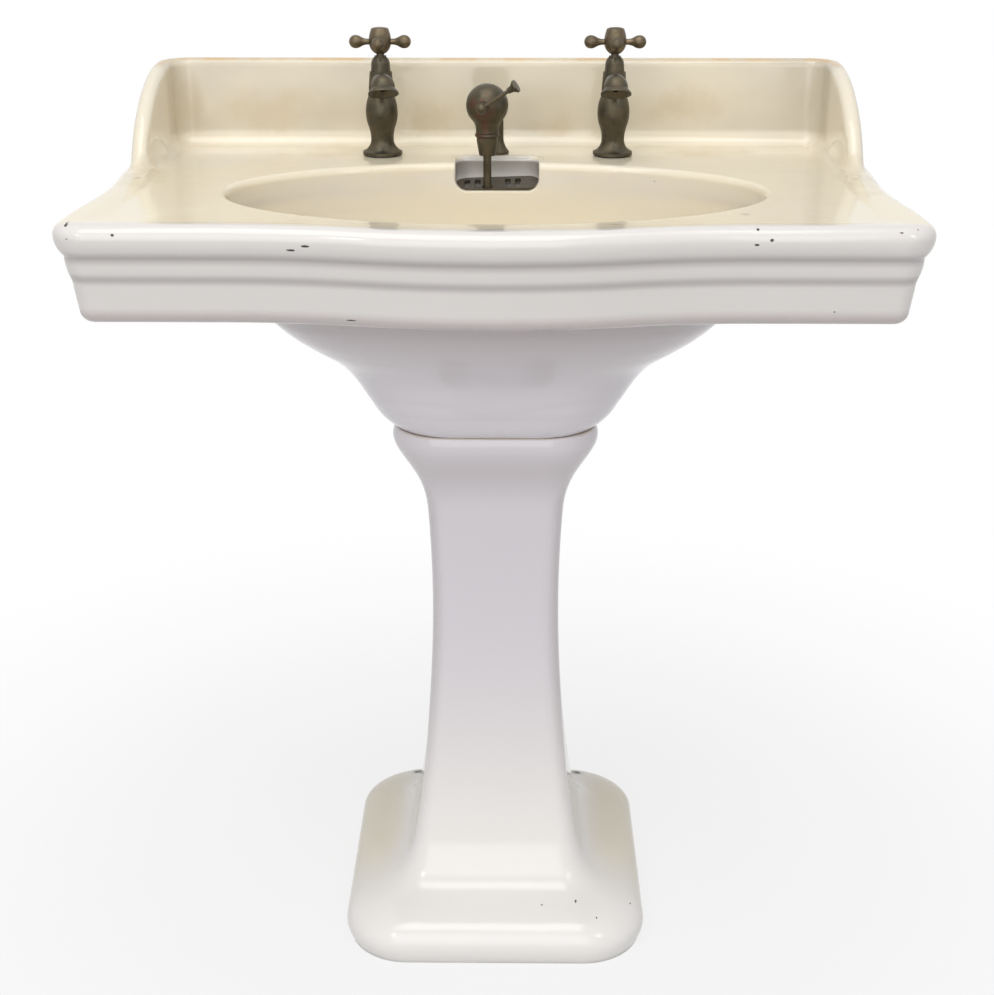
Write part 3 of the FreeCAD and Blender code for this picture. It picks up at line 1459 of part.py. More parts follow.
def outlet_body():
    """Flanged outlet whose top is the plunger's seat."""
    body = waste_piece("outlet_body")
    under = SEAT - S.outlet_flange_thickness
    low = under - S.outlet_length
    shank_low = under - S.outlet_shank_length
    profile = sketch_on(body, "XZ_Plane", "outlet")
    draw(
        profile, (S.outlet_bore_radius, low), (S.outlet_radius, low), (S.outlet_radius, shank_low),
        (S.outlet_shank_radius, shank_low), (S.outlet_shank_radius, under),
        (S.outlet_flange_radius, under), (S.outlet_flange_radius, SEAT), (S.outlet_bore_radius, SEAT))
    turned(body, profile)
    return body


def grating():
    """Slotted plate over the waste chamber, with a hole for the lift rod."""
    body = new_body("waste_grating")
    low = RIM - S.notch_drop - S.grating_thickness
    place(body, AXIS, CHAMBER_Y, low)
    half_width = S.notch_half_width - S.grating_gap
    half_depth = S.chamber_depth_y / 2 - S.grating_gap
    plate = sketch_on(body, "XY_Plane", "plate")
    rounded_rectangle(plate, AXIS, AXIS, half_width, half_depth, S.grating_corner)
    rod_y = ROD_Y - CHAMBER_Y
    circle(plate, ROD_X, rod_y, S.grating_hole_radius)
    slot = S.grating_slot_half_width
    half = S.grating_slot_length / 2 - slot
    for step in GRATING_STEPS:
        x = ROD_X + S.grating_pitch * step
        draw(
            plate, (x + slot, -half), (x + slot, half), (x, half + slot, x - slot, half),
            (x - slot, -half), (x, -half - slot, x + slot, -half))
    feature(body, "Pad", "plate_pad", Profile=plate, Length=S.grating_thickness)
    return body


def waste_set():
    """The lift-up waste from the pillar down to the outlet's nut."""
    thread = S.rod_radius + S.thread_clearance
    outlet_bore = S.outlet_shank_radius + S.thread_clearance
    floor = WELL_FLOOR - DECK
    under = floor - S.well_floor - S.outlet_washer_thickness
    return [
        waste_pillar(), waste_pillar_nut(), waste_head(), waste_cover(), waste_crank(),
        waste_lever(), waste_knob(), waste_lever_nut(), waste_guide_ring(), waste_guide(),
        waste_lift_rod(), waste_plunger(),
        ring(waste_piece("plunger_washer"), "disc", thread, S.plunger_washer_radius,
             SEAT + S.lift_gap, PLUNGER_FOOT),
        hex_nut(waste_piece("plunger_nut"), S.plunger_nut_flats, thread,
                SEAT + S.lift_gap - S.plunger_nut_thickness, S.plunger_nut_thickness),
        outlet_body(),
        ring(waste_piece("outlet_washer"), "gasket", outlet_bore, S.outlet_flange_radius,
             floor, floor + S.outlet_washer_thickness),
        ring(waste_piece("outlet_seal"), "gasket", outlet_bore, S.outlet_flange_radius,
             under, under + S.outlet_washer_thickness),
        hex_nut(waste_piece("outlet_nut"), S.outlet_nut_flats, outlet_bore,
                under - S.outlet_nut_thickness, S.outlet_nut_thickness),
        grating()]


PIECES = [basin(), pedestal()] + tap_set("hot", -1.0, S.hot_tap_turn)
PIECES += tap_set("cold", 1.0, S.cold_tap_turn) + waste_set()

doc.recompute()
for item in doc.Objects:
    if "Invalid" in item.State or "Error" in item.State:
        raise RuntimeError("{} failed: {}".format(item.Label, item.State))
for piece in PIECES:
    if piece.Shape.isNull() or not piece.Shape.isValid():
        raise RuntimeError("{} has no valid shape".format(piece.Label))
os.makedirs("parts", exist_ok=True)
for piece in PIECES:
    piece.Shape.exportStep("parts/{}.step".format(piece.Label))
    box = piece.Shape.BoundBox
    print("{}: {:.1f} cm3, {} solids, {}".format(
        piece.Label, piece.Shape.Volume / 1000.0, len(piece.Shape.Solids), box))
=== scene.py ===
"""Looks of an antique pedestal basin of enamelled iron with bronze taps and a lift-up waste."""
import json
import math

import bmesh
import bpy
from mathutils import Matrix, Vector
from mathutils.bvhtree import BVHTree

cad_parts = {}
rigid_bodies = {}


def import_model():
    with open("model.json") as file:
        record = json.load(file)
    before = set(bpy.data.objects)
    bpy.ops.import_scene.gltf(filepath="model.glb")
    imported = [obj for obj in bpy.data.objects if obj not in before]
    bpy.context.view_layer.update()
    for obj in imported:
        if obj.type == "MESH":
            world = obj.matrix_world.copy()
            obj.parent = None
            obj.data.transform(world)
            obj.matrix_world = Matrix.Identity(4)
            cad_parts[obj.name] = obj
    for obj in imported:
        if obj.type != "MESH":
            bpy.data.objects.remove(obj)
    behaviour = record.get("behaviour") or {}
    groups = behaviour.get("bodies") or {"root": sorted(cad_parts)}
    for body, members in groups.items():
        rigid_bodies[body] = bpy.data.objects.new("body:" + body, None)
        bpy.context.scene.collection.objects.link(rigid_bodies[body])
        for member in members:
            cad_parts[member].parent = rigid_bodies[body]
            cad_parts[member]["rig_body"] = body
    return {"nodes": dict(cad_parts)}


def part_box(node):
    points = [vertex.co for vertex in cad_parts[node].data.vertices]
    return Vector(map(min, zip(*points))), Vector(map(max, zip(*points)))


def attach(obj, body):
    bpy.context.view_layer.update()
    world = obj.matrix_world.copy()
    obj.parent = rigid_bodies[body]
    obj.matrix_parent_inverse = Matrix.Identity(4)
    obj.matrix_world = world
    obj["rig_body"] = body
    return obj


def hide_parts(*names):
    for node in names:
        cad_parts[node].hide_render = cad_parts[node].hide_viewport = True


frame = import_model()

bl_info = {
    "name": "Pedestal basin",
    "version": (1, 0, 0),
    "blender": (4, 5, 0),
    "location": "View3D > Sidebar > Basin",
    "description": "Dresses the packed pedestal basin with aged enamel and bronze",
    "category": "Object",
}

NODE_BODY = {node.name: node["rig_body"] for node in frame["nodes"].values()}
CASTINGS = ("basin", "pedestal")
TAPS = ("hot", "cold")
# How near two points of a CAD mesh are welded, in metres, and the angles past which an edge stays sharp.
WELD = 2e-6
CASTING_ANGLE = math.radians(32.0)
FITTING_ANGLE = math.radians(35.0)
SHELL_ANGLE = math.radians(50.0)
NORMAL_WEIGHT = 80
# How finely the bell's skin is laid, how far out its rays start, and how it fades at its edges.
BELL_LINES = 120
BELL_STEPS = 48
BELL_REACH = 0.6
BELL_SEARCH = math.radians(0.25)
BELL_STEEPEST = math.radians(75.0)
BELL_FADE = 0.12
# The rim's sides are drawn in between the wings and the front corners: where, how far, in how many cuts.
WAIST_MIDDLE = -0.045
WAIST_HALF = 0.145
WAIST_DEPTH = 0.008
WAIST_INNER = 0.335
WAIST_OUTER = 0.378
WAIST_CUTS = 20
# The eased feet of the wings: their reach in x and y, their mesh, how often they are smoothed, how far they
# are sunk, their thickness, the height that rays start from, and the steps over which they fade at their
# inner, outer, front and back ends.
WING_REACH = ((0.325, 0.386), (-0.10, 0.17))
WING_COLUMNS = 30
WING_ROWS = 135
WING_EASE_ALONG = 60
WING_EASE_ACROSS = 5
WING_ROUND = 12
WING_SUNK = 0.0004
WING_SKIN = 0.003
WING_ABOVE = 1.1
WING_FADES = (8, 3, 20, 45)
# Steps in each rounded corner of the notch's outline and of its lining's section.
NOTCH_STEPS = 8
LINING_STEPS = 5
# How far the loose grating's right side and its back are raised, in metres.
GRATING_RIGHT = 0.003
GRATING_BACK = 0.006
# Radii of the threaded tails, the room left below a nut, in metres, and how finely a thread is wound.
TAP_TAIL = 0.01043
WASTE_TAIL = 0.0209
THREAD_ROOM = 0.001
THREAD_STEPS = 28
RIDGE_SIDES = 3

# The bowl's middle and its reach, in metres.
BOWL = ((0.0, -0.036, 0.828), (0.297, 0.184, 0.225))
# The overflow notch, whose shaded inside is painted lighter: painted light.
NOTCH = ((0.0, 0.145, 0.805), (0.120, 0.060, 0.060))
# Height and reach of the two grooves along the apron, where shade is painted, in metres.
GROOVES = ((0.8005, 0.0085), (0.7805, 0.0070))
# Marks on the enamel: where each one sits, and how far it spreads, in metres.
CHIPS = (
    ((-0.374, -0.215, 0.829), (0.0035, 0.020, 0.0020)),
    ((-0.372, -0.215, 0.819), (0.0040, 0.030, 0.0030)),
    ((-0.331, -0.225, 0.823), (0.003, 0.030, 0.0025)),
    ((-0.175, -0.235, 0.811), (0.007, 0.030, 0.0018)),
    ((-0.162, -0.235, 0.815), (0.006, 0.030, 0.0018)),
    ((0.229, -0.225, 0.816), (0.004, 0.030, 0.0016)),
    ((0.230, -0.215, 0.828), (0.003, 0.030, 0.0030)),
    ((0.242, -0.225, 0.820), (0.003, 0.030, 0.0025)),
    ((0.354, -0.215, 0.826), (0.007, 0.030, 0.0018)),
    ((0.369, -0.215, 0.828), (0.0030, 0.020, 0.0020)),
    ((0.304, -0.225, 0.752), (0.003, 0.030, 0.0020)),
    ((-0.126, -0.235, 0.746), (0.009, 0.030, 0.0012)),
    ((0.052, -0.122, 0.048), (0.0040, 0.005, 0.0090)),
    ((0.090, -0.117, 0.050), (0.0030, 0.005, 0.0090)),
    ((0.112, -0.135, 0.040), (0.0030, 0.005, 0.0090)),
    ((0.151, -0.100, 0.035), (0.003, 0.020, 0.0090)),
    ((-0.388, 0.230, 0.895), (0.012, 0.014, 0.0030)),
)
GRIME = (
    ((-0.105, -0.195, 0.8270), (0.016, 0.003, 0.005)),
    ((-0.007, -0.197, 0.8270), (0.026, 0.003, 0.005)),
    ((0.108, -0.195, 0.8270), (0.018, 0.003, 0.005)),
    ((0.230, -0.150, 0.8270), (0.010, 0.014, 0.006)),
    ((0.315, -0.205, 0.8290), (0.016, 0.006, 0.006)),
    ((-0.330, -0.205, 0.8290), (0.013, 0.006, 0.006)),
    ((-0.040, 0.125, 0.8100), (0.010, 0.030, 0.012)),
)
STAINS = (
    ((-0.270, 0.245, 0.862), (0.085, 0.060, 0.034)),
    ((-0.345, 0.215, 0.868), (0.030, 0.060, 0.046)),
    ((-0.078, 0.245, 0.856), (0.036, 0.060, 0.030)),
    ((0.066, 0.245, 0.843), (0.036, 0.060, 0.022)),
    ((0.215, 0.245, 0.868), (0.050, 0.060, 0.030)),
    ((-0.180, 0.190, 0.826), (0.090, 0.050, 0.012)),
    ((0.220, 0.190, 0.826), (0.110, 0.050, 0.012)),
    ((-0.360, 0.020, 0.830), (0.030, 0.120, 0.020)),
    ((0.365, 0.010, 0.830), (0.028, 0.120, 0.020)),
    ((-0.020, 0.150, 0.805), (0.020, 0.030, 0.020)),
)
# How far down the waste head the red stain runs, and how far its two marks spread, in metres.
HEAD_RUN = 0.020
HEAD_SPREADS = ((0.007, 0.030, 0.018), (0.009, 0.020, 0.008))

# Noises over the surfaces: scale, detail and, where given, roughness.
CLOUD = (5.0, 4.0)
PATCHY = (26.0, 5.0, 0.6)
GRAIN = (160.0, 3.0)
WAVES = (14.0, 2.0)
STREAKS = (1.0, 3.0)
STREAK_STRETCH = (30.0, 30.0, 5.0)
MOTTLE = (70.0, 6.0, 0.65)
FLECK = (420.0, 3.0, 0.6)
DUST = (120.0, 4.0)
# Ramps: the values from and to which they run and, where given, the shares at both ends.
MARK_FADE = (1.0, 0.2)
DECK_LEVEL = (0.822, 0.832)
DECK_DEPTH = (-0.05, 0.03)
ROLL_LINE = (0.05, 0.24, -0.236, -0.212)
ROLL_BLEND = (-0.006, 0.008)
FACING_UP = (0.10, 0.75)
BASIN_LEVEL = (0.62, 0.68)
BOWL_EDGE = (0.0, 0.06)
BOWL_FACING = (-0.10, 0.10)
YELLOW_CLOUD = (0.25, 0.60, 0.70, 1.0)
APRON_FOOT = (0.755, 0.735)
# Painted light: the enamel lightens towards the floor.
FOOT_LIGHT = (0.38, 0.08)
# Painted shade on the pedestal's neck, under its shoulder.
NECK_SHADE = (0.050, 0.0, 0.0, 0.22)
# Painted shadow on the bell's top, under the basin's apron.
BELL_SHADE = (0.640, 0.735, 0.0, 0.50)
BELL_TOP = (0.755, 0.745)
# Painted shade on the shaft's side faces.
FLANK_SHADE = (0.30, 0.85, 0.0, 0.20)
SHAFT_FOOT = (0.12, 0.30)
SHAFT_TOP = (0.60, 0.52)
SPLASH_FOOT = (0.832, 0.846)
SPLASH_FRONT = (0.175, 0.205)
SPLASH_EDGE = (0.9165, 0.9205)
DULL_CLOUD = (0.30, 0.62, 0.95, 0.50)
FOOT_SIDE = (0.085, 0.135)
FOOT_TOP = (0.10, 0.06)
FOOT_BACK = (-0.12, 0.02)
RAGGED = (0.25, 0.75, -0.25, 0.45)
STAIN_STREAKS = (0.30, 0.70, 0.25, 0.55)
EDGE_RUST = (0.35, 0.60, 0.15, 0.75)
JOINT_WIDTH = (0.0024, 0.0006)
JOINT_DIRT = (0.30, 0.60, 0.10, 0.45)
# Painted shade in the apron's grooves: how it strengthens towards the front.
GROOVE_SHADE = (0.12, -0.16, 0.0, 0.60)
PIT_SIZE = (0.045, 0.020)
PIT_CHANCE = (0.90, 0.92)
CHIP_EDGE = (0.30, 0.55)
GLOSS_CLOUD = (0.30, 0.70)
SOFT_FOOT = (0.16, 0.10)
MOTTLED = (0.38, 0.66)
VERDIGRIS = (0.60, 0.74, 0.0, 0.45)
RED_RAGGED = (0.3, 0.7, -0.3, 0.5)
PATINA = (0.30, 0.70)
RUBBER_DUST = (0.45, 0.75)
RUBBER_ROUGHNESS = (0.0, 1.0, 0.55, 0.85)
# Heights of the pedestal's neck and of the joint between the castings, in metres.
NECK_LEVEL = 0.545
JOINT_LEVEL = 0.587
# Shares and strengths of the enamel's marks, its roughness and its relief, with depths in metres.
FOOT_YELLOW = 0.80
GRIME_SHARE = 0.40
PIT_SCALE = 42.0
PIT_SHARE = 0.6
CHIP_FLAKES = 0.9
CHIP_SPREAD = 0.35
CHIP_STRENGTH = 0.8
CHIP_DEPTH = 0.0006
WAVE_STRENGTH = 0.10
WAVE_DEPTH = 0.004
WORN_ROUGHNESS = 0.22
GLOSS_LEAST = 0.7
GLOSS_MOST = 1.4
SOFT_MOST = 4.0
SOFT_SAMPLES = 8
# The bronze's metal share, the reach of its roughness and its relief, and how much second colour each has.
BRONZE_METAL = 0.75
PATINA_LEAST = 0.75
PATINA_MOST = 1.35
FLECK_STRENGTH = 0.25
FLECK_DEPTH = 0.0004
OLIVE_MIX = 0.45
BROWN_MIX = 0.75
RED_MIX = 0.85
HEAD_MIX = 0.35
THREAD_MIX = 0.5
# Colours of the rubber and of the dust on it.
RUBBER_BLACK = (0.022, 0.021, 0.020)
RUBBER_GREY = (0.085, 0.080, 0.070)
# The stage: the camera's sensor in millimetres, the floor's colour, how far it glows to the eye, the shares
# of its fade over which it goes, and its size in fades.
SENSOR = 36.0
FLOOR_GREY = (0.62, 0.62, 0.62)
WHITE = (1.0, 1.0, 1.0)
FLOOR_GLOW = 0.80
FLOOR_GOES = (0.15, 0.8)
FLOOR_HALF = 2
# Lamps: name, the setting with its power, place, target and size, in metres.
LAMPS = (
    ("overhead", "overhead", (-0.2, -0.7, 3.0), (0.0, 0.0, 0.6), 1.8),
    ("front", "front", (-0.4, -3.4, 1.7), (0.0, 0.0, 0.4), 3.0),
    ("glint_left", "glint", (-1.5, -2.0, 2.4), (0.0, 0.0, 0.6), 0.5),
    ("glint_right", "glint", (1.6, -1.8, 2.3), (0.0, 0.0, 0.6), 0.5),
)


class EnamelSettings(bpy.types.PropertyGroup):
    cream: bpy.props.FloatVectorProperty(
        name="Cream", description="Colour of the enamel where it has yellowed",
        default=(0.79, 0.712, 0.545), size=3, subtype="COLOR", min=0.0, max=1.0)
    white: bpy.props.FloatVectorProperty(
        name="White", description="Colour of the enamel on the rolled rim and the apron",
        default=(0.69, 0.660, 0.637), size=3, subtype="COLOR", min=0.0, max=1.0)
    # Painted light: this lighter colour brightens the pedestal towards the floor and the notch's shaded
    # inside.
    foot: bpy.props.FloatVectorProperty(
        name="Foot", description="Colour of the clean enamel on the foot",
        default=(0.87, 0.845, 0.815), size=3, subtype="COLOR", min=0.0, max=1.0)
    dull: bpy.props.FloatVectorProperty(
        name="Dull", description="Colour of the dulled enamel on the splash back",
        default=(0.56, 0.505, 0.405), size=3, subtype="COLOR", min=0.0, max=1.0)
    # Painted shade: this colour darkens the pedestal's neck, the bell under the basin and the shaft's side
    # faces.
    dust: bpy.props.FloatVectorProperty(
        name="Dust", description="Colour of the dust held under the basin",
        default=(0.40, 0.335, 0.305), size=3, subtype="COLOR", min=0.0, max=1.0)
    cool: bpy.props.FloatVectorProperty(
        name="Cool", description="Colour of the enamel on the shaft and under the basin",
        default=(0.70, 0.665, 0.70), size=3, subtype="COLOR", min=0.0, max=1.0)
    stain: bpy.props.FloatVectorProperty(
        name="Stain", description="Colour of the water stains",
        default=(0.56, 0.45, 0.28), size=3, subtype="COLOR", min=0.0, max=1.0)
    rust: bpy.props.FloatVectorProperty(
        name="Rust", description="Colour of the rust along thin edges",
        default=(0.62, 0.40, 0.17), size=3, subtype="COLOR", min=0.0, max=1.0)
    # Painted shade: the colour laid into the apron's grooves.
    shade: bpy.props.FloatVectorProperty(
        name="Shade", description="Colour of the dirt in the apron's grooves",
        default=(0.36, 0.33, 0.335), size=3, subtype="COLOR", min=0.0, max=1.0)
    iron: bpy.props.FloatVectorProperty(
        name="Iron", description="Colour of the bare iron in the chips",
        default=(0.035, 0.030, 0.026), size=3, subtype="COLOR", min=0.0, max=1.0)
    roughness: bpy.props.FloatProperty(
        name="Roughness", description="Roughness of the clean glaze",
        default=0.09, min=0.0, max=1.0, subtype="FACTOR")
    softness: bpy.props.FloatProperty(
        name="Edge softness", description="Radius to which the glaze rounds the iron's edges",
        default=0.0035, min=0.0, unit="LENGTH")


class BronzeSettings(bpy.types.PropertyGroup):
    olive: bpy.props.FloatVectorProperty(
        name="Olive", description="Dark olive patina of the tap bodies",
        default=(0.070, 0.061, 0.040), size=3, subtype="COLOR", min=0.0, max=1.0)
    brown: bpy.props.FloatVectorProperty(
        name="Brown", description="Brown where the patina is thin",
        default=(0.150, 0.112, 0.068), size=3, subtype="COLOR", min=0.0, max=1.0)
    reddish: bpy.props.FloatVectorProperty(
        name="Reddish", description="Reddish brown of the bare copper in the alloy",
        default=(0.120, 0.050, 0.036), size=3, subtype="COLOR", min=0.0, max=1.0)
    verdigris: bpy.props.FloatVectorProperty(
        name="Verdigris", description="Pale green grey in the mottling",
        default=(0.155, 0.150, 0.105), size=3, subtype="COLOR", min=0.0, max=1.0)
    roughness: bpy.props.FloatProperty(
        name="Roughness", description="Roughness of the patina",
        default=0.40, min=0.0, max=1.0, subtype="FACTOR")


class ThreadSettings(bpy.types.PropertyGroup):
    tap_pitch: bpy.props.FloatProperty(
        name="Tap thread pitch", description="Pitch of the half-inch pipe thread on the tap tails",
        default=0.001814, min=0.0005, unit="LENGTH")
    waste_pitch: bpy.props.FloatProperty(
        name="Waste thread pitch", description="Pitch of the pipe thread on the waste tail",
        default=0.002309, min=0.0005, unit="LENGTH")
    height: bpy.props.FloatProperty(
        name="Thread height", description="How far the thread's crest stands off its root",
        default=0.0006, min=0.0001, unit="LENGTH")


class NotchSettings(bpy.types.PropertyGroup):
    deck: bpy.props.FloatProperty(
        name="Deck", description="Height of the deck round the notch", default=0.8261, unit="LENGTH")
    front: bpy.props.FloatProperty(
        name="Front", description="Where the lining starts behind the bowl's edge",
        default=0.127, unit="LENGTH")
    gap: bpy.props.FloatProperty(
        name="Gap", description="Room between the grating and the notch", default=0.0003, unit="LENGTH")
    corner: bpy.props.FloatProperty(
        name="Corner", description="Radius of the notch's back corners", default=0.013, unit="LENGTH")
    lip: bpy.props.FloatProperty(
        name="Lip", description="Radius that rounds the deck into the notch", default=0.005, unit="LENGTH")
    toe: bpy.props.FloatProperty(
        name="Toe", description="Radius at the foot of the notch's walls", default=0.001, unit="LENGTH")
    skin: bpy.props.FloatProperty(
        name="Skin", description="Thickness of the lining", default=0.0006, unit="LENGTH")


class BellSettings(bpy.types.PropertyGroup):
    middle: bpy.props.FloatVectorProperty(
        name="Middle", description="Point inside the bowl from which the bell is measured",
        default=(0.0, -0.005, 0.77), size=3, subtype="TRANSLATION", unit="LENGTH")
    low: bpy.props.FloatProperty(
        name="Low", description="Height at which the bell's skin starts above the joint",
        default=0.603, unit="LENGTH")
    top: bpy.props.FloatProperty(
        name="Top", description="Steepness of the highest line of the bell",
        default=math.radians(12.0), subtype="ANGLE", unit="ROTATION")
    sweep: bpy.props.FloatProperty(
        name="Sweep", description="How far the bell runs round each way from the front",
        default=math.radians(112.0), subtype="ANGLE", unit="ROTATION")
    ease: bpy.props.IntProperty(
        name="Ease", description="How many times each line of the bell is smoothed", default=60, min=0)
    skin: bpy.props.FloatProperty(
        name="Skin", description="How far the bell's skin stands off the iron",
        default=0.0003, unit="LENGTH")


class StageSettings(bpy.types.PropertyGroup):
    eye: bpy.props.FloatVectorProperty(
        name="Eye", description="Place of the camera", default=(0.018, -1.605, 1.122), size=3,
        subtype="TRANSLATION", unit="LENGTH")
    pitch: bpy.props.FloatProperty(
        name="Pitch", description="How far the camera looks down", default=math.radians(21.55),
        subtype="ANGLE", unit="ROTATION")
    yaw: bpy.props.FloatProperty(
        name="Yaw", description="How far the camera turns to the left", default=math.radians(0.6),
        subtype="ANGLE", unit="ROTATION")
    lens: bpy.props.FloatProperty(
        name="Lens", description="Focal length in millimetres", default=57.9, min=1.0)
    overhead: bpy.props.FloatProperty(
        name="Overhead light", description="Power of the lamp above the basin",
        default=30.0, min=0.0, unit="POWER")
    front: bpy.props.FloatProperty(
        name="Front light", description="Power of the lamp behind the camera",
        default=44.0, min=0.0, unit="POWER")
    glint: bpy.props.FloatProperty(
        name="Glint light", description="Power of each small side lamp", default=6.0, min=0.0, unit="POWER")
    sky: bpy.props.FloatProperty(
        name="Sky", description="Strength of the even light all round", default=0.46, min=0.0)
    floor_fade: bpy.props.FloatProperty(
        name="Floor fade", description="How far from the object the floor has faded into the background",
        default=1.5, min=0.1, unit="LENGTH")


GROUPS = {
    "enamel_settings": EnamelSettings,
    "bronze_settings": BronzeSettings,
    "thread_settings": ThreadSettings,
    "notch_settings": NotchSettings,
    "bell_settings": BellSettings,
    "stage_settings": StageSettings,
}


def settings(name):
    return getattr(bpy.context.scene, name)


class Tree:
    """Adds nodes to a node tree and links them by socket."""

    def __init__(self, tree):
        self.tree = tree

    def add(self, kind, inputs=None, **values):
        node = self.tree.nodes.new(kind)
        for key, value in values.items():
            setattr(node, key, value)
        for key, value in (inputs or {}).items():
            self.feed(node.inputs[key], value)
        return node

    def feed(self, socket, value):
        if isinstance(value, bpy.types.NodeSocket):
            self.tree.links.new(value, socket)
        else:
            socket.default_value = value

    def math(self, operation, first, second):
        return self.add("ShaderNodeMath", {0: first, 1: second}, operation=operation).outputs[0]

    def product(self, first, *others):
        for other in others:
            first = self.math("MULTIPLY", first, other)
        return first

    def largest(self, first, *others):
        for other in others:
            first = self.math("MAXIMUM", first, other)
        return first

    def away(self, value, level):
        """How far a value is from a level."""
        return self.math("ABSOLUTE", self.math("SUBTRACT", value, level), 0.0)

    def ramp(self, value, low, high, start=0.0, end=1.0):
        """Runs smoothly from start to end while the value runs from low to high."""
        return self.add("ShaderNodeMapRange", {
            "Value": value, "From Min": low, "From Max": high, "To Min": start, "To Max": end},
            interpolation_type="SMOOTHSTEP").outputs[0]

    def tint(self, share, first, second):
        """Mixes two colours."""
        return self.add("ShaderNodeMix", {"Factor": share, 6: rgba(first), 7: rgba(second)},
                        data_type="RGBA").outputs[2]

    def noise(self, where, scale, detail=3.0, roughness=0.5):
        return self.add("ShaderNodeTexNoise", {
            "Vector": where, "Scale": scale, "Detail": detail, "Roughness": roughness}).outputs["Fac"]

    def stretch(self, where, scale):
        return self.add("ShaderNodeMapping", {"Vector": where, "Scale": scale}).outputs["Vector"]


def rgba(colour):
    if isinstance(colour, bpy.types.NodeSocket):
        return colour
    return (*colour, 1.0)


def new_material(name):
    material = bpy.data.materials.new(name)
    material.use_nodes = True
    tree = Tree(material.node_tree)
    shader = material.node_tree.nodes["Principled BSDF"]
    where = tree.add("ShaderNodeTexCoord").outputs["Object"]
    return material, tree, shader, where


def mark_group():
    """A node group for one soft, ragged mark round a centre."""
    group = bpy.data.node_groups.new("mark", "ShaderNodeTree")
    for name in ("Where", "Centre", "Size"):
        group.interface.new_socket(name, in_out="INPUT", socket_type="NodeSocketVector")
    group.interface.new_socket("Ragged", in_out="INPUT", socket_type="NodeSocketFloat")
    group.interface.new_socket("Share", in_out="OUTPUT", socket_type="NodeSocketFloat")
    tree = Tree(group)
    given = tree.add("NodeGroupInput").outputs
    offset = tree.add("ShaderNodeVectorMath", {0: given["Where"], 1: given["Centre"]}, operation="SUBTRACT")
    scaled = tree.add("ShaderNodeVectorMath", {0: offset.outputs[0], 1: given["Size"]}, operation="DIVIDE")
    far = tree.add("ShaderNodeVectorMath", {0: scaled.outputs[0]}, operation="LENGTH").outputs["Value"]
    share = tree.ramp(tree.math("ADD", far, given["Ragged"]), *MARK_FADE)
    tree.add("NodeGroupOutput", {"Share": share})
    return group


def marks(tree, group, where, places, ragged):
    """The strongest of many marks."""
    total = 0.0
    for centre, size in places:
        mark = tree.add("ShaderNodeGroup", node_tree=group)
        for name, value in (("Where", where), ("Centre", centre), ("Size", size), ("Ragged", ragged)):
            tree.feed(mark.inputs[name], value)
        total = tree.math("MAXIMUM", total, mark.outputs["Share"])
    return total


def enamel_zones(tree, group, where, look, cloud):
    """The enamel's colour by zone: white, cool, lighter at the foot and in the notch as painted light,
    darker at the neck, bell and flanks as painted shade, cream and dull.
    """
    place = tree.add("ShaderNodeSeparateXYZ", {"Vector": where}).outputs
    y = place["Y"]
    z = place["Z"]
    wide = tree.away(place["X"], 0.0)
    normal = tree.add("ShaderNodeTexCoord").outputs["Normal"]
    facing = tree.add("ShaderNodeSeparateXYZ", {"Vector": normal}).outputs
    lean = tree.away(facing["X"], 0.0)
    rise = facing["Z"]

    deck = tree.product(tree.ramp(z, *DECK_LEVEL), tree.ramp(y, *DECK_DEPTH))
    roll = tree.ramp(wide, *ROLL_LINE)
    behind = tree.ramp(tree.math("SUBTRACT", y, roll), *ROLL_BLEND)
    flat = tree.product(tree.ramp(rise, *FACING_UP), tree.ramp(z, *BASIN_LEVEL), behind)
    bowl = marks(tree, group, where, (BOWL,), 0.0)
    bowl = tree.product(tree.ramp(bowl, *BOWL_EDGE), tree.ramp(rise, *BOWL_FACING))
    yellowed = tree.product(tree.largest(deck, flat, bowl), tree.ramp(cloud, *YELLOW_CLOUD))
    # Painted light: the notch's shaded inside lightened to the foot's colour.
    lit_notch = marks(tree, group, where, (NOTCH,), 0.0)
    # Painted shade: the neck darkened under the pedestal's shoulder.
    neck = tree.ramp(tree.away(z, NECK_LEVEL), *NECK_SHADE)
    # Painted shadow: the bell's top darkened under the basin's apron.
    bell = tree.product(tree.ramp(z, *BELL_SHADE), tree.ramp(z, *BELL_TOP))
    # Painted shade: the shaft's side faces darkened.
    flank = tree.product(tree.ramp(lean, *FLANK_SHADE), tree.ramp(z, *SHAFT_FOOT), tree.ramp(z, *SHAFT_TOP))
    dulled = tree.product(tree.ramp(z, *SPLASH_FOOT), tree.ramp(y, *SPLASH_FRONT),
                          tree.ramp(cloud, *DULL_CLOUD))
    sides = tree.product(tree.ramp(wide, *FOOT_SIDE), tree.ramp(z, *FOOT_TOP), tree.ramp(y, *FOOT_BACK))

    colour = tree.tint(tree.ramp(z, *APRON_FOOT), look.white, look.cool)
    # Painted light: lighter towards the floor and inside the notch.
    colour = tree.tint(tree.largest(tree.ramp(z, *FOOT_LIGHT), lit_notch), colour, look.foot)
    # Painted shade in the dust colour on the neck, the bell and the shaft's sides.
    colour = tree.tint(tree.largest(neck, bell, flank), colour, look.dust)
    colour = tree.tint(yellowed, colour, look.cream)
    colour = tree.tint(dulled, colour, look.dull)
    return tree.tint(tree.product(sides, FOOT_YELLOW), colour, look.cream)


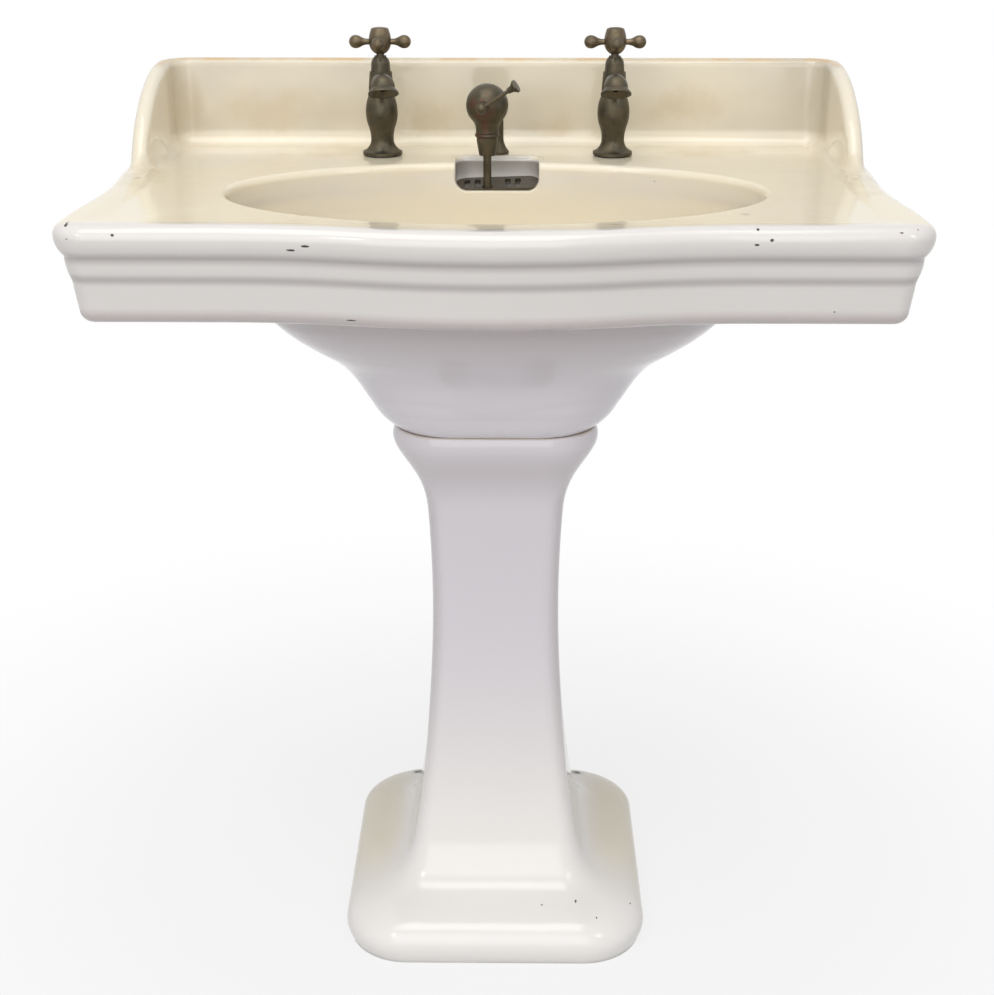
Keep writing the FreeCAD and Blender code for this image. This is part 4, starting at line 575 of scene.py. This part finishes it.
def enamel_lines(tree, where, look, patchy, colour):
    """Adds rust on the splash back's edge, dirt in the castings' joint and painted shade in the apron's
    grooves.
    """
    place = tree.add("ShaderNodeSeparateXYZ", {"Vector": where}).outputs
    z = place["Z"]
    edge = tree.product(tree.ramp(z, *SPLASH_EDGE), tree.ramp(patchy, *EDGE_RUST))
    joint = tree.product(tree.ramp(tree.away(z, JOINT_LEVEL), *JOINT_WIDTH), tree.ramp(patchy, *JOINT_DIRT))
    # Painted shade along the apron's two grooves, stronger towards the front.
    grooves = tree.largest(*(tree.ramp(tree.away(z, level), reach, 0.0) for level, reach in GROOVES))
    colour = tree.tint(edge, colour, look.rust)
    colour = tree.tint(joint, colour, look.stain)
    return tree.tint(tree.product(grooves, tree.ramp(place["Y"], *GROOVE_SHADE)), colour, look.shade)


def bare_iron(tree, group, where):
    """Where chips and pinholes show the iron."""
    pits = tree.add("ShaderNodeTexVoronoi", {"Vector": where, "Scale": PIT_SCALE, "Randomness": 1.0})
    chance = tree.add("ShaderNodeSeparateColor", {"Color": pits.outputs["Color"]}).outputs[0]
    pinholes = tree.product(tree.ramp(pits.outputs["Distance"], *PIT_SIZE), tree.ramp(chance, *PIT_CHANCE))
    flakes = tree.product(tree.noise(where, *GRAIN), CHIP_FLAKES)
    chips = marks(tree, group, where, CHIPS, tree.math("SUBTRACT", flakes, CHIP_SPREAD))
    return tree.largest(tree.ramp(chips, *CHIP_EDGE), tree.product(pinholes, PIT_SHARE))


def glaze_normal(tree, where, look, bare):
    """Rounded edges, slow waves in the glaze and sunk chips."""
    z = tree.add("ShaderNodeSeparateXYZ", {"Vector": where}).outputs["Z"]
    radius = tree.ramp(z, *SOFT_FOOT, look.softness, look.softness * SOFT_MOST)
    soft = tree.add("ShaderNodeBevel", {"Radius": radius}, samples=SOFT_SAMPLES).outputs["Normal"]
    waves = tree.add("ShaderNodeBump", {
        "Height": tree.noise(where, *WAVES), "Strength": WAVE_STRENGTH, "Distance": WAVE_DEPTH,
        "Normal": soft}).outputs["Normal"]
    return tree.add("ShaderNodeBump", {
        "Height": tree.math("SUBTRACT", 1.0, bare), "Strength": CHIP_STRENGTH, "Distance": CHIP_DEPTH,
        "Normal": waves}).outputs["Normal"]


def enamel_material():
    look = settings("enamel_settings")
    material, tree, shader, where = new_material("aged_enamel")
    group = mark_group()
    cloud = tree.noise(where, *CLOUD)
    patchy = tree.noise(where, *PATCHY)
    ragged = tree.ramp(patchy, *RAGGED)
    streaks = tree.noise(tree.stretch(where, STREAK_STRETCH), *STREAKS)
    stains = tree.product(marks(tree, group, where, STAINS, ragged), tree.ramp(streaks, *STAIN_STREAKS))
    bare = bare_iron(tree, group, where)
    grime = tree.product(marks(tree, group, where, GRIME, ragged), GRIME_SHARE)

    colour = enamel_zones(tree, group, where, look, cloud)
    colour = tree.tint(stains, colour, look.stain)
    colour = enamel_lines(tree, where, look, patchy, colour)
    colour = tree.tint(tree.largest(bare, grime), colour, look.iron)
    tree.feed(shader.inputs["Base Color"], colour)

    gloss = tree.ramp(cloud, *GLOSS_CLOUD, look.roughness * GLOSS_LEAST, look.roughness * GLOSS_MOST)
    worn = tree.product(tree.largest(stains, bare), WORN_ROUGHNESS)
    tree.feed(shader.inputs["Roughness"], tree.math("ADD", gloss, worn))
    tree.feed(shader.inputs["Normal"], glaze_normal(tree, where, look, bare))
    return material


def bronze_material(name, main, second, share, stain=()):
    """Dark patina, mottled with a second colour, with reddish stains where they are given."""
    look = settings("bronze_settings")
    material, tree, shader, where = new_material(name)
    mottle = tree.noise(where, *MOTTLE)
    fleck = tree.noise(where, *FLECK)
    colour = tree.tint(tree.ramp(mottle, *MOTTLED, 0.0, share), main, second)
    colour = tree.tint(tree.ramp(fleck, *VERDIGRIS), colour, look.verdigris)
    if stain:
        red = marks(tree, mark_group(), where, stain, tree.ramp(mottle, *RED_RAGGED))
        colour = tree.tint(red, colour, look.reddish)
    tree.feed(shader.inputs["Base Color"], colour)
    shader.inputs["Metallic"].default_value = BRONZE_METAL
    tree.feed(shader.inputs["Roughness"], tree.ramp(
        mottle, *PATINA, look.roughness * PATINA_LEAST, look.roughness * PATINA_MOST))
    bump = tree.add("ShaderNodeBump", {"Height": fleck, "Strength": FLECK_STRENGTH, "Distance": FLECK_DEPTH})
    tree.feed(shader.inputs["Normal"], bump.outputs["Normal"])
    return material


def rubber_material():
    material, tree, shader, where = new_material("old_rubber")
    dust = tree.ramp(tree.noise(where, *DUST), *RUBBER_DUST)
    tree.feed(shader.inputs["Base Color"], tree.tint(dust, RUBBER_BLACK, RUBBER_GREY))
    tree.feed(shader.inputs["Roughness"], tree.ramp(dust, *RUBBER_ROUGHNESS))
    return material


def link(name, mesh):
    piece = bpy.data.objects.new(name, mesh)
    bpy.context.scene.collection.objects.link(piece)
    return piece


def draw_in_sides(work):
    """Draws the rim's sides in between the wings and the front corners."""
    for i in range(WAIST_CUTS + 1):
        level = WAIST_MIDDLE + WAIST_HALF * (2.0 * i / WAIST_CUTS - 1.0)
        faces = [face for face in work.faces if max(abs(vert.co.x) for vert in face.verts) > WAIST_INNER]
        edges = {edge for face in faces for edge in face.edges}
        verts = {vert for face in faces for vert in face.verts}
        bmesh.ops.bisect_plane(work, geom=[*verts, *edges, *faces], dist=WELD,
                               plane_co=(0.0, level, 0.0), plane_no=(0.0, 1.0, 0.0))
    for vert in work.verts:
        vert.co.x = drawn_in(vert.co.x, vert.co.y)


def drawn_in(x, y):
    """Where a point of the rim's side comes to lie in x."""
    away = min(1.0, abs(y - WAIST_MIDDLE) / WAIST_HALF)
    out = max(0.0, min(1.0, (abs(x) - WAIST_INNER) / (WAIST_OUTER - WAIST_INNER)))
    return x - math.copysign(WAIST_DEPTH * math.cos(away * math.pi / 2) ** 2 * out, x)


def merged_copy(node, material, angle):
    """A welded, smooth copy of a CAD node that stands for it."""
    mesh = frame["nodes"][node].data.copy()
    mesh.name = node + "_skin"
    if mesh.has_custom_normals:
        mesh.attributes.remove(mesh.attributes["custom_normal"])
    work = bmesh.new()
    work.from_mesh(mesh)
    bmesh.ops.remove_doubles(work, verts=work.verts, dist=WELD)
    if node == "basin":
        draw_in_sides(work)
    work.to_mesh(mesh)
    work.free()
    mesh.shade_smooth()
    mesh.set_sharp_from_angle(angle=angle)
    mesh.materials.clear()
    mesh.materials.append(material)
    skin = link(node + "_skin", mesh)
    weighted = skin.modifiers.new("weighted", "WEIGHTED_NORMAL")
    weighted.keep_sharp = True
    weighted.weight = NORMAL_WEIGHT
    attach(skin, NODE_BODY[node])
    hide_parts(node)
    return skin


class BASIN_OT_castings(bpy.types.Operator):
    """Dresses the basin and the pedestal in aged enamel"""
    bl_idname = "basin.castings"
    bl_label = "Castings"

    def execute(self, context):
        enamel = enamel_material()
        for node in CASTINGS:
            merged_copy(node, enamel, CASTING_ANGLE)
        return {"FINISHED"}


class BASIN_OT_lining(bpy.types.Operator):
    """Rounds the overflow notch behind the bowl with a smooth glazed lining"""
    bl_idname = "basin.lining"
    bl_label = "Notch lining"

    def execute(self, context):
        look = settings("notch_settings")
        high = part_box("waste_grating")[1]
        path = notch_path(high[0] + look.gap, look.front, high[1] + look.gap, look.corner)
        profile = lining_profile(high[2] + look.gap, look)
        work = bmesh.new()
        rings = []
        for (x, y), (out_x, out_y) in path:
            rings.append([work.verts.new((x - out_x * inward, y - out_y * inward, height))
                          for inward, height in profile])
        for first, second in zip(rings, rings[1:]):
            for i in range(len(profile)):
                j = (i + 1) % len(profile)
                work.faces.new((first[i], second[i], second[j], first[j]))
        work.faces.new(rings[0])
        work.faces.new(reversed(rings[-1]))
        enamel_piece(work, "notch_lining")
        return {"FINISHED"}


def arc(middle, radius, start, end, steps):
    """Points of an arc with their outward directions, angles in quarter turns."""
    points = []
    for i in range(steps + 1):
        angle = (start + (end - start) * i / steps) * math.pi / 2
        out = (math.cos(angle), math.sin(angle))
        points.append(((middle[0] + out[0] * radius, middle[1] + out[1] * radius), out))
    return points


def notch_path(half, front, back, corner):
    """The notch's outline from its left front to its right front, with outward directions."""
    left = arc((corner - half, back - corner), corner, 2.0, 1.0, NOTCH_STEPS)
    right = arc((half - corner, back - corner), corner, 1.0, 0.0, NOTCH_STEPS)
    return [((-half, front), (-1.0, 0.0)), *left, *right, ((half, front), (1.0, 0.0))]


def lining_profile(floor, look):
    """The lining's section as (distance into the notch, height), down its face and up its back."""
    lip = arc((-look.lip, look.deck - look.lip), look.lip, 1.0, 0.0, LINING_STEPS)
    toe = arc((look.toe, floor + look.toe), look.toe, 2.0, 3.0, LINING_STEPS)
    face = [point for point, _ in lip + toe]
    skin = look.skin
    return face + [(look.toe, floor - skin), (-skin, floor - skin), (-skin, look.deck - look.lip - skin),
                   (-look.lip, look.deck - skin * 2)]


class BASIN_OT_bell(bpy.types.Operator):
    """Eases the bowl's underside into the collar with a smooth glazed skin"""
    bl_idname = "basin.bell"
    bl_label = "Bell"

    def execute(self, context):
        look = settings("bell_settings")
        cad = frame["nodes"]["basin"].data
        iron = BVHTree.FromPolygons([v.co for v in cad.vertices], [p.vertices for p in cad.polygons])
        lines = [bell_line(iron, look, i / BELL_LINES) for i in range(BELL_LINES + 1)]
        work = bmesh.new()
        outer = [[work.verts.new(point) for point in line[0]] for line in lines]
        inner = [[work.verts.new(point) for point in line[1]] for line in lines]
        close_shell(work, outer, inner)
        enamel_piece(work, "bell_skin")
        return {"FINISHED"}


class BASIN_OT_wings(bpy.types.Operator):
    """Eases the feet of the wings into the deck and the rim"""
    bl_idname = "basin.wings"
    bl_label = "Wing feet"

    def execute(self, context):
        glaze = bpy.data.objects["basin_skin"].data
        iron = BVHTree.FromPolygons([v.co for v in glaze.vertices], [p.vertices for p in glaze.polygons])
        for name, side in (("wing_foot_left", -1.0), ("wing_foot_right", 1.0)):
            self.foot(iron, name, side)
        return {"FINISHED"}

    def foot(self, iron, name, side):
        (inner, outer), (front, back) = WING_REACH
        across = [side * (inner + (outer - inner) * i / WING_COLUMNS) for i in range(WING_COLUMNS + 1)]
        along = [front + (back - front) * j / WING_ROWS for j in range(WING_ROWS + 1)]
        places = [[(drawn_in(x, y), y) for y in along] for x in across]
        heights = [[top_of(iron, x, y) for x, y in column] for column in places]
        eased = [eased_line(column, WING_EASE_ALONG) for column in heights]
        filled = [map(max, raw, soft) for raw, soft in zip(heights, eased)]
        rounded = [eased_line(column, WING_ROUND) for column in filled]
        rows = [eased_line(row, WING_EASE_ACROSS) for row in zip(*rounded)]
        work = bmesh.new()
        top = []
        under = []
        for i, column in enumerate(places):
            top.append([])
            under.append([])
            for j, (x, y) in enumerate(column):
                beside = heights[max(0, i - 1):i + 2]
                lowest = min(min(line[max(0, j - 1):j + 2]) for line in beside)
                ends = (i, WING_COLUMNS - i, j, WING_ROWS - j)
                shown = min(1.0, *(steps / fade for steps, fade in zip(ends, WING_FADES)))
                height = lowest + (rows[j][i] - lowest) * shown - WING_SUNK
                top[i].append(work.verts.new((x, y, height)))
                under[i].append(work.verts.new((x, y, min(height, lowest) - WING_SKIN)))
        close_shell(work, top, under)
        enamel_piece(work, name)


def top_of(iron, x, y):
    """Height of the iron's top at a place, or just inside it where the place is past the rim."""
    while abs(x) >= WING_REACH[0][0]:
        hit = iron.ray_cast((x, y, WING_ABOVE), (0.0, 0.0, -1.0))[0]
        if hit is not None:
            return hit.z
        x -= math.copysign(WING_SUNK, x)
    raise RuntimeError("no iron under the wing's foot")


def eased_line(values, turns):
    """A row of values, smoothed while its ends stay."""
    values = list(values)
    for _ in range(turns):
        inside = [(a + 2.0 * b + c) / 4.0 for a, b, c in zip(values, values[1:], values[2:])]
        values = [values[0], *inside, values[-1]]
    return values


def close_shell(work, outer, inner):
    """Joins two grids of vertices of the same size into a closed shell."""
    lines = len(outer) - 1
    steps = len(outer[0]) - 1
    for grid in (outer, inner):
        for first, second in zip(grid, grid[1:]):
            for i in range(steps):
                work.faces.new((first[i], second[i], second[i + 1], first[i + 1]))
    for line in (0, lines):
        for i in range(steps):
            work.faces.new((outer[line][i], outer[line][i + 1], inner[line][i + 1], inner[line][i]))
    for step in (0, steps):
        for i in range(lines):
            work.faces.new((outer[i][step], outer[i + 1][step], inner[i + 1][step], inner[i][step]))


def enamel_piece(work, name):
    """Makes an enamelled piece of the basin from a finished shell."""
    bmesh.ops.recalc_face_normals(work, faces=work.faces)
    mesh = bpy.data.meshes.new(name)
    work.to_mesh(mesh)
    work.free()
    mesh.shade_smooth()
    mesh.set_sharp_from_angle(angle=SHELL_ANGLE)
    mesh.materials.append(bpy.data.materials["aged_enamel"])
    piece = link(name, mesh)
    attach(piece, NODE_BODY["basin"])


def bell_line(iron, look, share):
    """One line of the bell from its low end to its top: points on the skin and points under the iron."""
    middle = Vector(look.middle)
    turn = -math.pi / 2 + look.sweep * (2.0 * share - 1.0)

    def way(steep):
        flat = math.cos(steep)
        return Vector((flat * math.cos(turn), flat * math.sin(turn), -math.sin(steep)))

    def depth(steep):
        hit = iron.ray_cast(middle + way(steep) * BELL_REACH, -way(steep))
        if hit[0] is None:
            raise RuntimeError("the bell's line misses the iron")
        return BELL_REACH - hit[3]

    steepest = look.top
    while middle.z - depth(steepest) * math.sin(steepest) > look.low and steepest < BELL_STEEPEST:
        steepest += BELL_SEARCH
    steeps = [steepest - (steepest - look.top) * i / BELL_STEPS for i in range(BELL_STEPS + 1)]
    depths = [depth(steep) for steep in steeps]
    eased = eased_line(depths, look.ease)
    outer = []
    inner = []
    for i, steep in enumerate(steeps):
        ends = min(i / BELL_STEPS, 1.0 - i / BELL_STEPS) / BELL_FADE
        sides = min(share, 1.0 - share) / BELL_FADE
        shown = min(1.0, ends) * min(1.0, sides)
        sunk = depths[i] - look.skin
        proud = max(eased[i], depths[i]) + look.skin
        outer.append(middle + way(steep) * (sunk + (proud - sunk) * shown))
        inner.append(middle + way(steep) * (sunk - look.skin))
    return outer, inner


class BASIN_OT_fittings(bpy.types.Operator):
    """Dresses the taps and the waste in bronze and rubber"""
    bl_idname = "basin.fittings"
    bl_label = "Fittings"

    def execute(self, context):
        look = settings("bronze_settings")
        rubber = rubber_material()
        olive = bronze_material("olive_bronze", look.olive, look.brown, OLIVE_MIX)
        brown = bronze_material("brown_bronze", look.brown, look.olive, BROWN_MIX)
        red = bronze_material("reddish_bronze", look.olive, look.reddish, RED_MIX)
        low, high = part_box("waste_cover")
        middle = (Vector(low) + Vector(high)) / 2
        places = (middle - Vector((0.0, 0.0, HEAD_RUN)), middle)
        stain = tuple(zip(places, HEAD_SPREADS))
        head = bronze_material("stained_bronze", look.olive, look.brown, HEAD_MIX, stain)
        special = {"waste_head": head, "waste_cover": red, "waste_guide_ring": red}
        for node in frame["nodes"]:
            if node in CASTINGS:
                continue
            soft = "washer" in node or "seal" in node
            metal = brown if "handle" in node or "index" in node else special.get(node, olive)
            skin = merged_copy(node, rubber if soft else metal, FITTING_ANGLE)
            if node == "waste_grating":
                lift_grating(skin.data)
        return {"FINISHED"}


def lift_grating(mesh):
    """Lays the grating loosely, with its back and its right side raised."""
    low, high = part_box("waste_grating")
    for vertex in mesh.vertices:
        right = (vertex.co.x - low[0]) / (high[0] - low[0])
        behind = (vertex.co.y - low[1]) / (high[1] - low[1])
        vertex.co.z += right * GRATING_RIGHT + behind * GRATING_BACK


class BASIN_OT_threads(bpy.types.Operator):
    """Winds the pipe threads round the tails under the basin"""
    bl_idname = "basin.threads"
    bl_label = "Threads"

    def execute(self, context):
        look = settings("thread_settings")
        patina = settings("bronze_settings")
        tree = thread_tree(bronze_material("thread_bronze", patina.olive, patina.brown, THREAD_MIX))
        for tap in TAPS:
            low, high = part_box(tap + "_tap_back_nut")
            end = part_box(tap + "_tap_body")[0][2]
            foot = ((low[0] + high[0]) / 2, (low[1] + high[1]) / 2, end)
            wind_thread(tree, tap + "_tail_thread", foot, TAP_TAIL, low[2] - end - THREAD_ROOM,
                        look.tap_pitch, look.height)
        low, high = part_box("outlet_body")
        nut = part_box("outlet_nut")[0][2]
        foot = ((low[0] + high[0]) / 2, (low[1] + high[1]) / 2, low[2])
        wind_thread(tree, "waste_tail_thread", foot, WASTE_TAIL, nut - low[2] - THREAD_ROOM,
                    look.waste_pitch, look.height)
        return {"FINISHED"}


def thread_tree(material):
    """A tree that winds a ridge round a tail."""
    group = bpy.data.node_groups.new("wound_thread", "GeometryNodeTree")
    group.interface.new_socket("Geometry", in_out="OUTPUT", socket_type="NodeSocketGeometry")
    group.interface.new_socket("Foot", in_out="INPUT", socket_type="NodeSocketVector")
    for name in ("Radius", "Length", "Pitch", "Height"):
        group.interface.new_socket(name, in_out="INPUT", socket_type="NodeSocketFloat")
    tree = Tree(group)
    given = tree.add("NodeGroupInput").outputs
    turns = tree.math("DIVIDE", given["Length"], given["Pitch"])
    helix = tree.add("GeometryNodeCurveSpiral", {
        "Resolution": THREAD_STEPS, "Rotations": turns, "Start Radius": given["Radius"],
        "End Radius": given["Radius"], "Height": given["Length"]}).outputs[0]
    ridge = tree.add("GeometryNodeCurvePrimitiveCircle", {
        "Resolution": RIDGE_SIDES, "Radius": given["Height"]}).outputs[0]
    wound = tree.add("GeometryNodeCurveToMesh", {
        "Curve": helix, "Profile Curve": ridge, "Fill Caps": True}).outputs[0]
    placed = tree.add("GeometryNodeTransform", {"Geometry": wound, "Translation": given["Foot"]}).outputs[0]
    real = tree.add("GeometryNodeRealizeInstances", {"Geometry": placed}).outputs[0]
    dressed = tree.add("GeometryNodeSetMaterial", {"Geometry": real, "Material": material}).outputs[0]
    tree.add("NodeGroupOutput", {"Geometry": dressed})
    return group


def wind_thread(group, name, foot, radius, length, pitch, height):
    piece = link(name, bpy.data.meshes.new(name))
    modifier = piece.modifiers.new("thread", "NODES")
    modifier.node_group = group
    values = {"Foot": foot, "Radius": radius, "Length": length, "Pitch": pitch, "Height": height}
    for item in group.interface.items_tree:
        if item.in_out == "INPUT":
            modifier[item.identifier] = values[item.name]
    graph = bpy.context.evaluated_depsgraph_get()
    mesh = bpy.data.meshes.new_from_object(piece.evaluated_get(graph))
    piece.modifiers.remove(modifier)
    piece.data = mesh
    if not mesh.polygons:
        raise RuntimeError(name + " has no faces")
    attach(piece, NODE_BODY["basin"])


class BASIN_OT_stage(bpy.types.Operator):
    """Adds the floor, the light and the camera"""
    bl_idname = "basin.stage"
    bl_label = "Stage"

    def execute(self, context):
        look = settings("stage_settings")
        scene = context.scene
        scene.view_settings.view_transform = "Standard"
        lens = bpy.data.cameras.new("camera")
        lens.lens = look.lens
        lens.sensor_width = SENSOR
        camera = bpy.data.objects.new("camera", lens)
        camera.location = look.eye
        camera.rotation_euler = (math.pi / 2 - look.pitch, 0.0, look.yaw)
        scene.collection.objects.link(camera)
        scene.camera = camera
        self.floor(look.floor_fade)
        for name, power, place, target, size in LAMPS:
            self.lamp(name, getattr(look, power), place, target, size)
        self.sky(scene, look.sky)
        return {"FINISHED"}

    def floor(self, fade):
        material, tree, shader, where = new_material("pale_floor")
        shader.inputs["Base Color"].default_value = rgba(FLOOR_GREY)
        shader.inputs["Roughness"].default_value = 1.0
        shader.inputs["Specular IOR Level"].default_value = 0.0
        seen = seen_rays(tree)
        glow = tree.add("ShaderNodeEmission", {"Color": rgba(WHITE), "Strength": 1.0}).outputs[0]
        pale = tree.add("ShaderNodeMixShader", {
            0: tree.product(seen, FLOOR_GLOW), 1: shader.outputs[0], 2: glow}).outputs[0]
        far = tree.add("ShaderNodeVectorMath", {0: where}, operation="LENGTH").outputs["Value"]
        start, end = FLOOR_GOES
        gone = tree.product(tree.ramp(far, fade * start, fade * end), seen)
        clear = tree.add("ShaderNodeBsdfTransparent").outputs[0]
        faded = tree.add("ShaderNodeMixShader", {0: gone, 1: pale, 2: clear}).outputs[0]
        tree.feed(material.node_tree.nodes["Material Output"].inputs["Surface"], faded)
        half = fade * FLOOR_HALF
        corners = [(-half, -half, 0.0), (half, -half, 0.0), (half, half, 0.0), (-half, half, 0.0)]
        mesh = bpy.data.meshes.new("floor")
        mesh.from_pydata(corners, [], [tuple(range(len(corners)))])
        mesh.materials.append(material)
        link("floor", mesh)

    def lamp(self, name, power, place, target, size):
        light = bpy.data.lights.new(name, "AREA")
        light.energy = power
        light.size = size
        lamp = link(name, light)
        lamp.location = place
        lamp.rotation_euler = (Vector(target) - Vector(place)).to_track_quat("-Z", "Y").to_euler()

    def sky(self, scene, strength):
        world = bpy.data.worlds.new("studio")
        world.use_nodes = True
        scene.world = world
        tree = Tree(world.node_tree)
        background = world.node_tree.nodes["Background"]
        background.inputs["Color"].default_value = rgba(WHITE)
        tree.feed(background.inputs["Strength"], tree.ramp(seen_rays(tree), 0.0, 1.0, strength, 1.0))


def seen_rays(tree):
    """One for the rays that show a surface to the eye, straight, mirrored or through it."""
    path = tree.add("ShaderNodeLightPath").outputs
    return tree.largest(path["Is Camera Ray"], path["Is Glossy Ray"], path["Is Transmission Ray"])


class BASIN_PT_panel(bpy.types.Panel):
    """Settings of the basin's looks"""
    bl_label = "Pedestal basin"
    bl_idname = "BASIN_PT_panel"
    bl_space_type = "VIEW_3D"
    bl_region_type = "UI"
    bl_category = "Basin"

    def draw(self, context):
        for group in GROUPS:
            for prop in settings(group).bl_rna.properties:
                if prop.identifier not in ("rna_type", "name"):
                    self.layout.prop(settings(group), prop.identifier)
        for operator in OPERATORS:
            self.layout.operator(operator.bl_idname)


OPERATORS = (
    BASIN_OT_castings,
    BASIN_OT_lining,
    BASIN_OT_bell,
    BASIN_OT_wings,
    BASIN_OT_fittings,
    BASIN_OT_threads,
    BASIN_OT_stage,
)
CLASSES = (*GROUPS.values(), *OPERATORS, BASIN_PT_panel)


def register():
    for item in CLASSES:
        bpy.utils.register_class(item)
    for name, group in GROUPS.items():
        setattr(bpy.types.Scene, name, bpy.props.PointerProperty(type=group))


def unregister():
    for name in GROUPS:
        delattr(bpy.types.Scene, name)
    for item in reversed(CLASSES):
        bpy.utils.unregister_class(item)


def main():
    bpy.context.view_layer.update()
    register()
    bpy.ops.basin.castings()
    bpy.ops.basin.lining()
    bpy.ops.basin.bell()
    bpy.ops.basin.wings()
    bpy.ops.basin.fittings()
    bpy.ops.basin.threads()
    bpy.ops.basin.stage()
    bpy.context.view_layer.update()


if __name__ == "__main__":
    main()
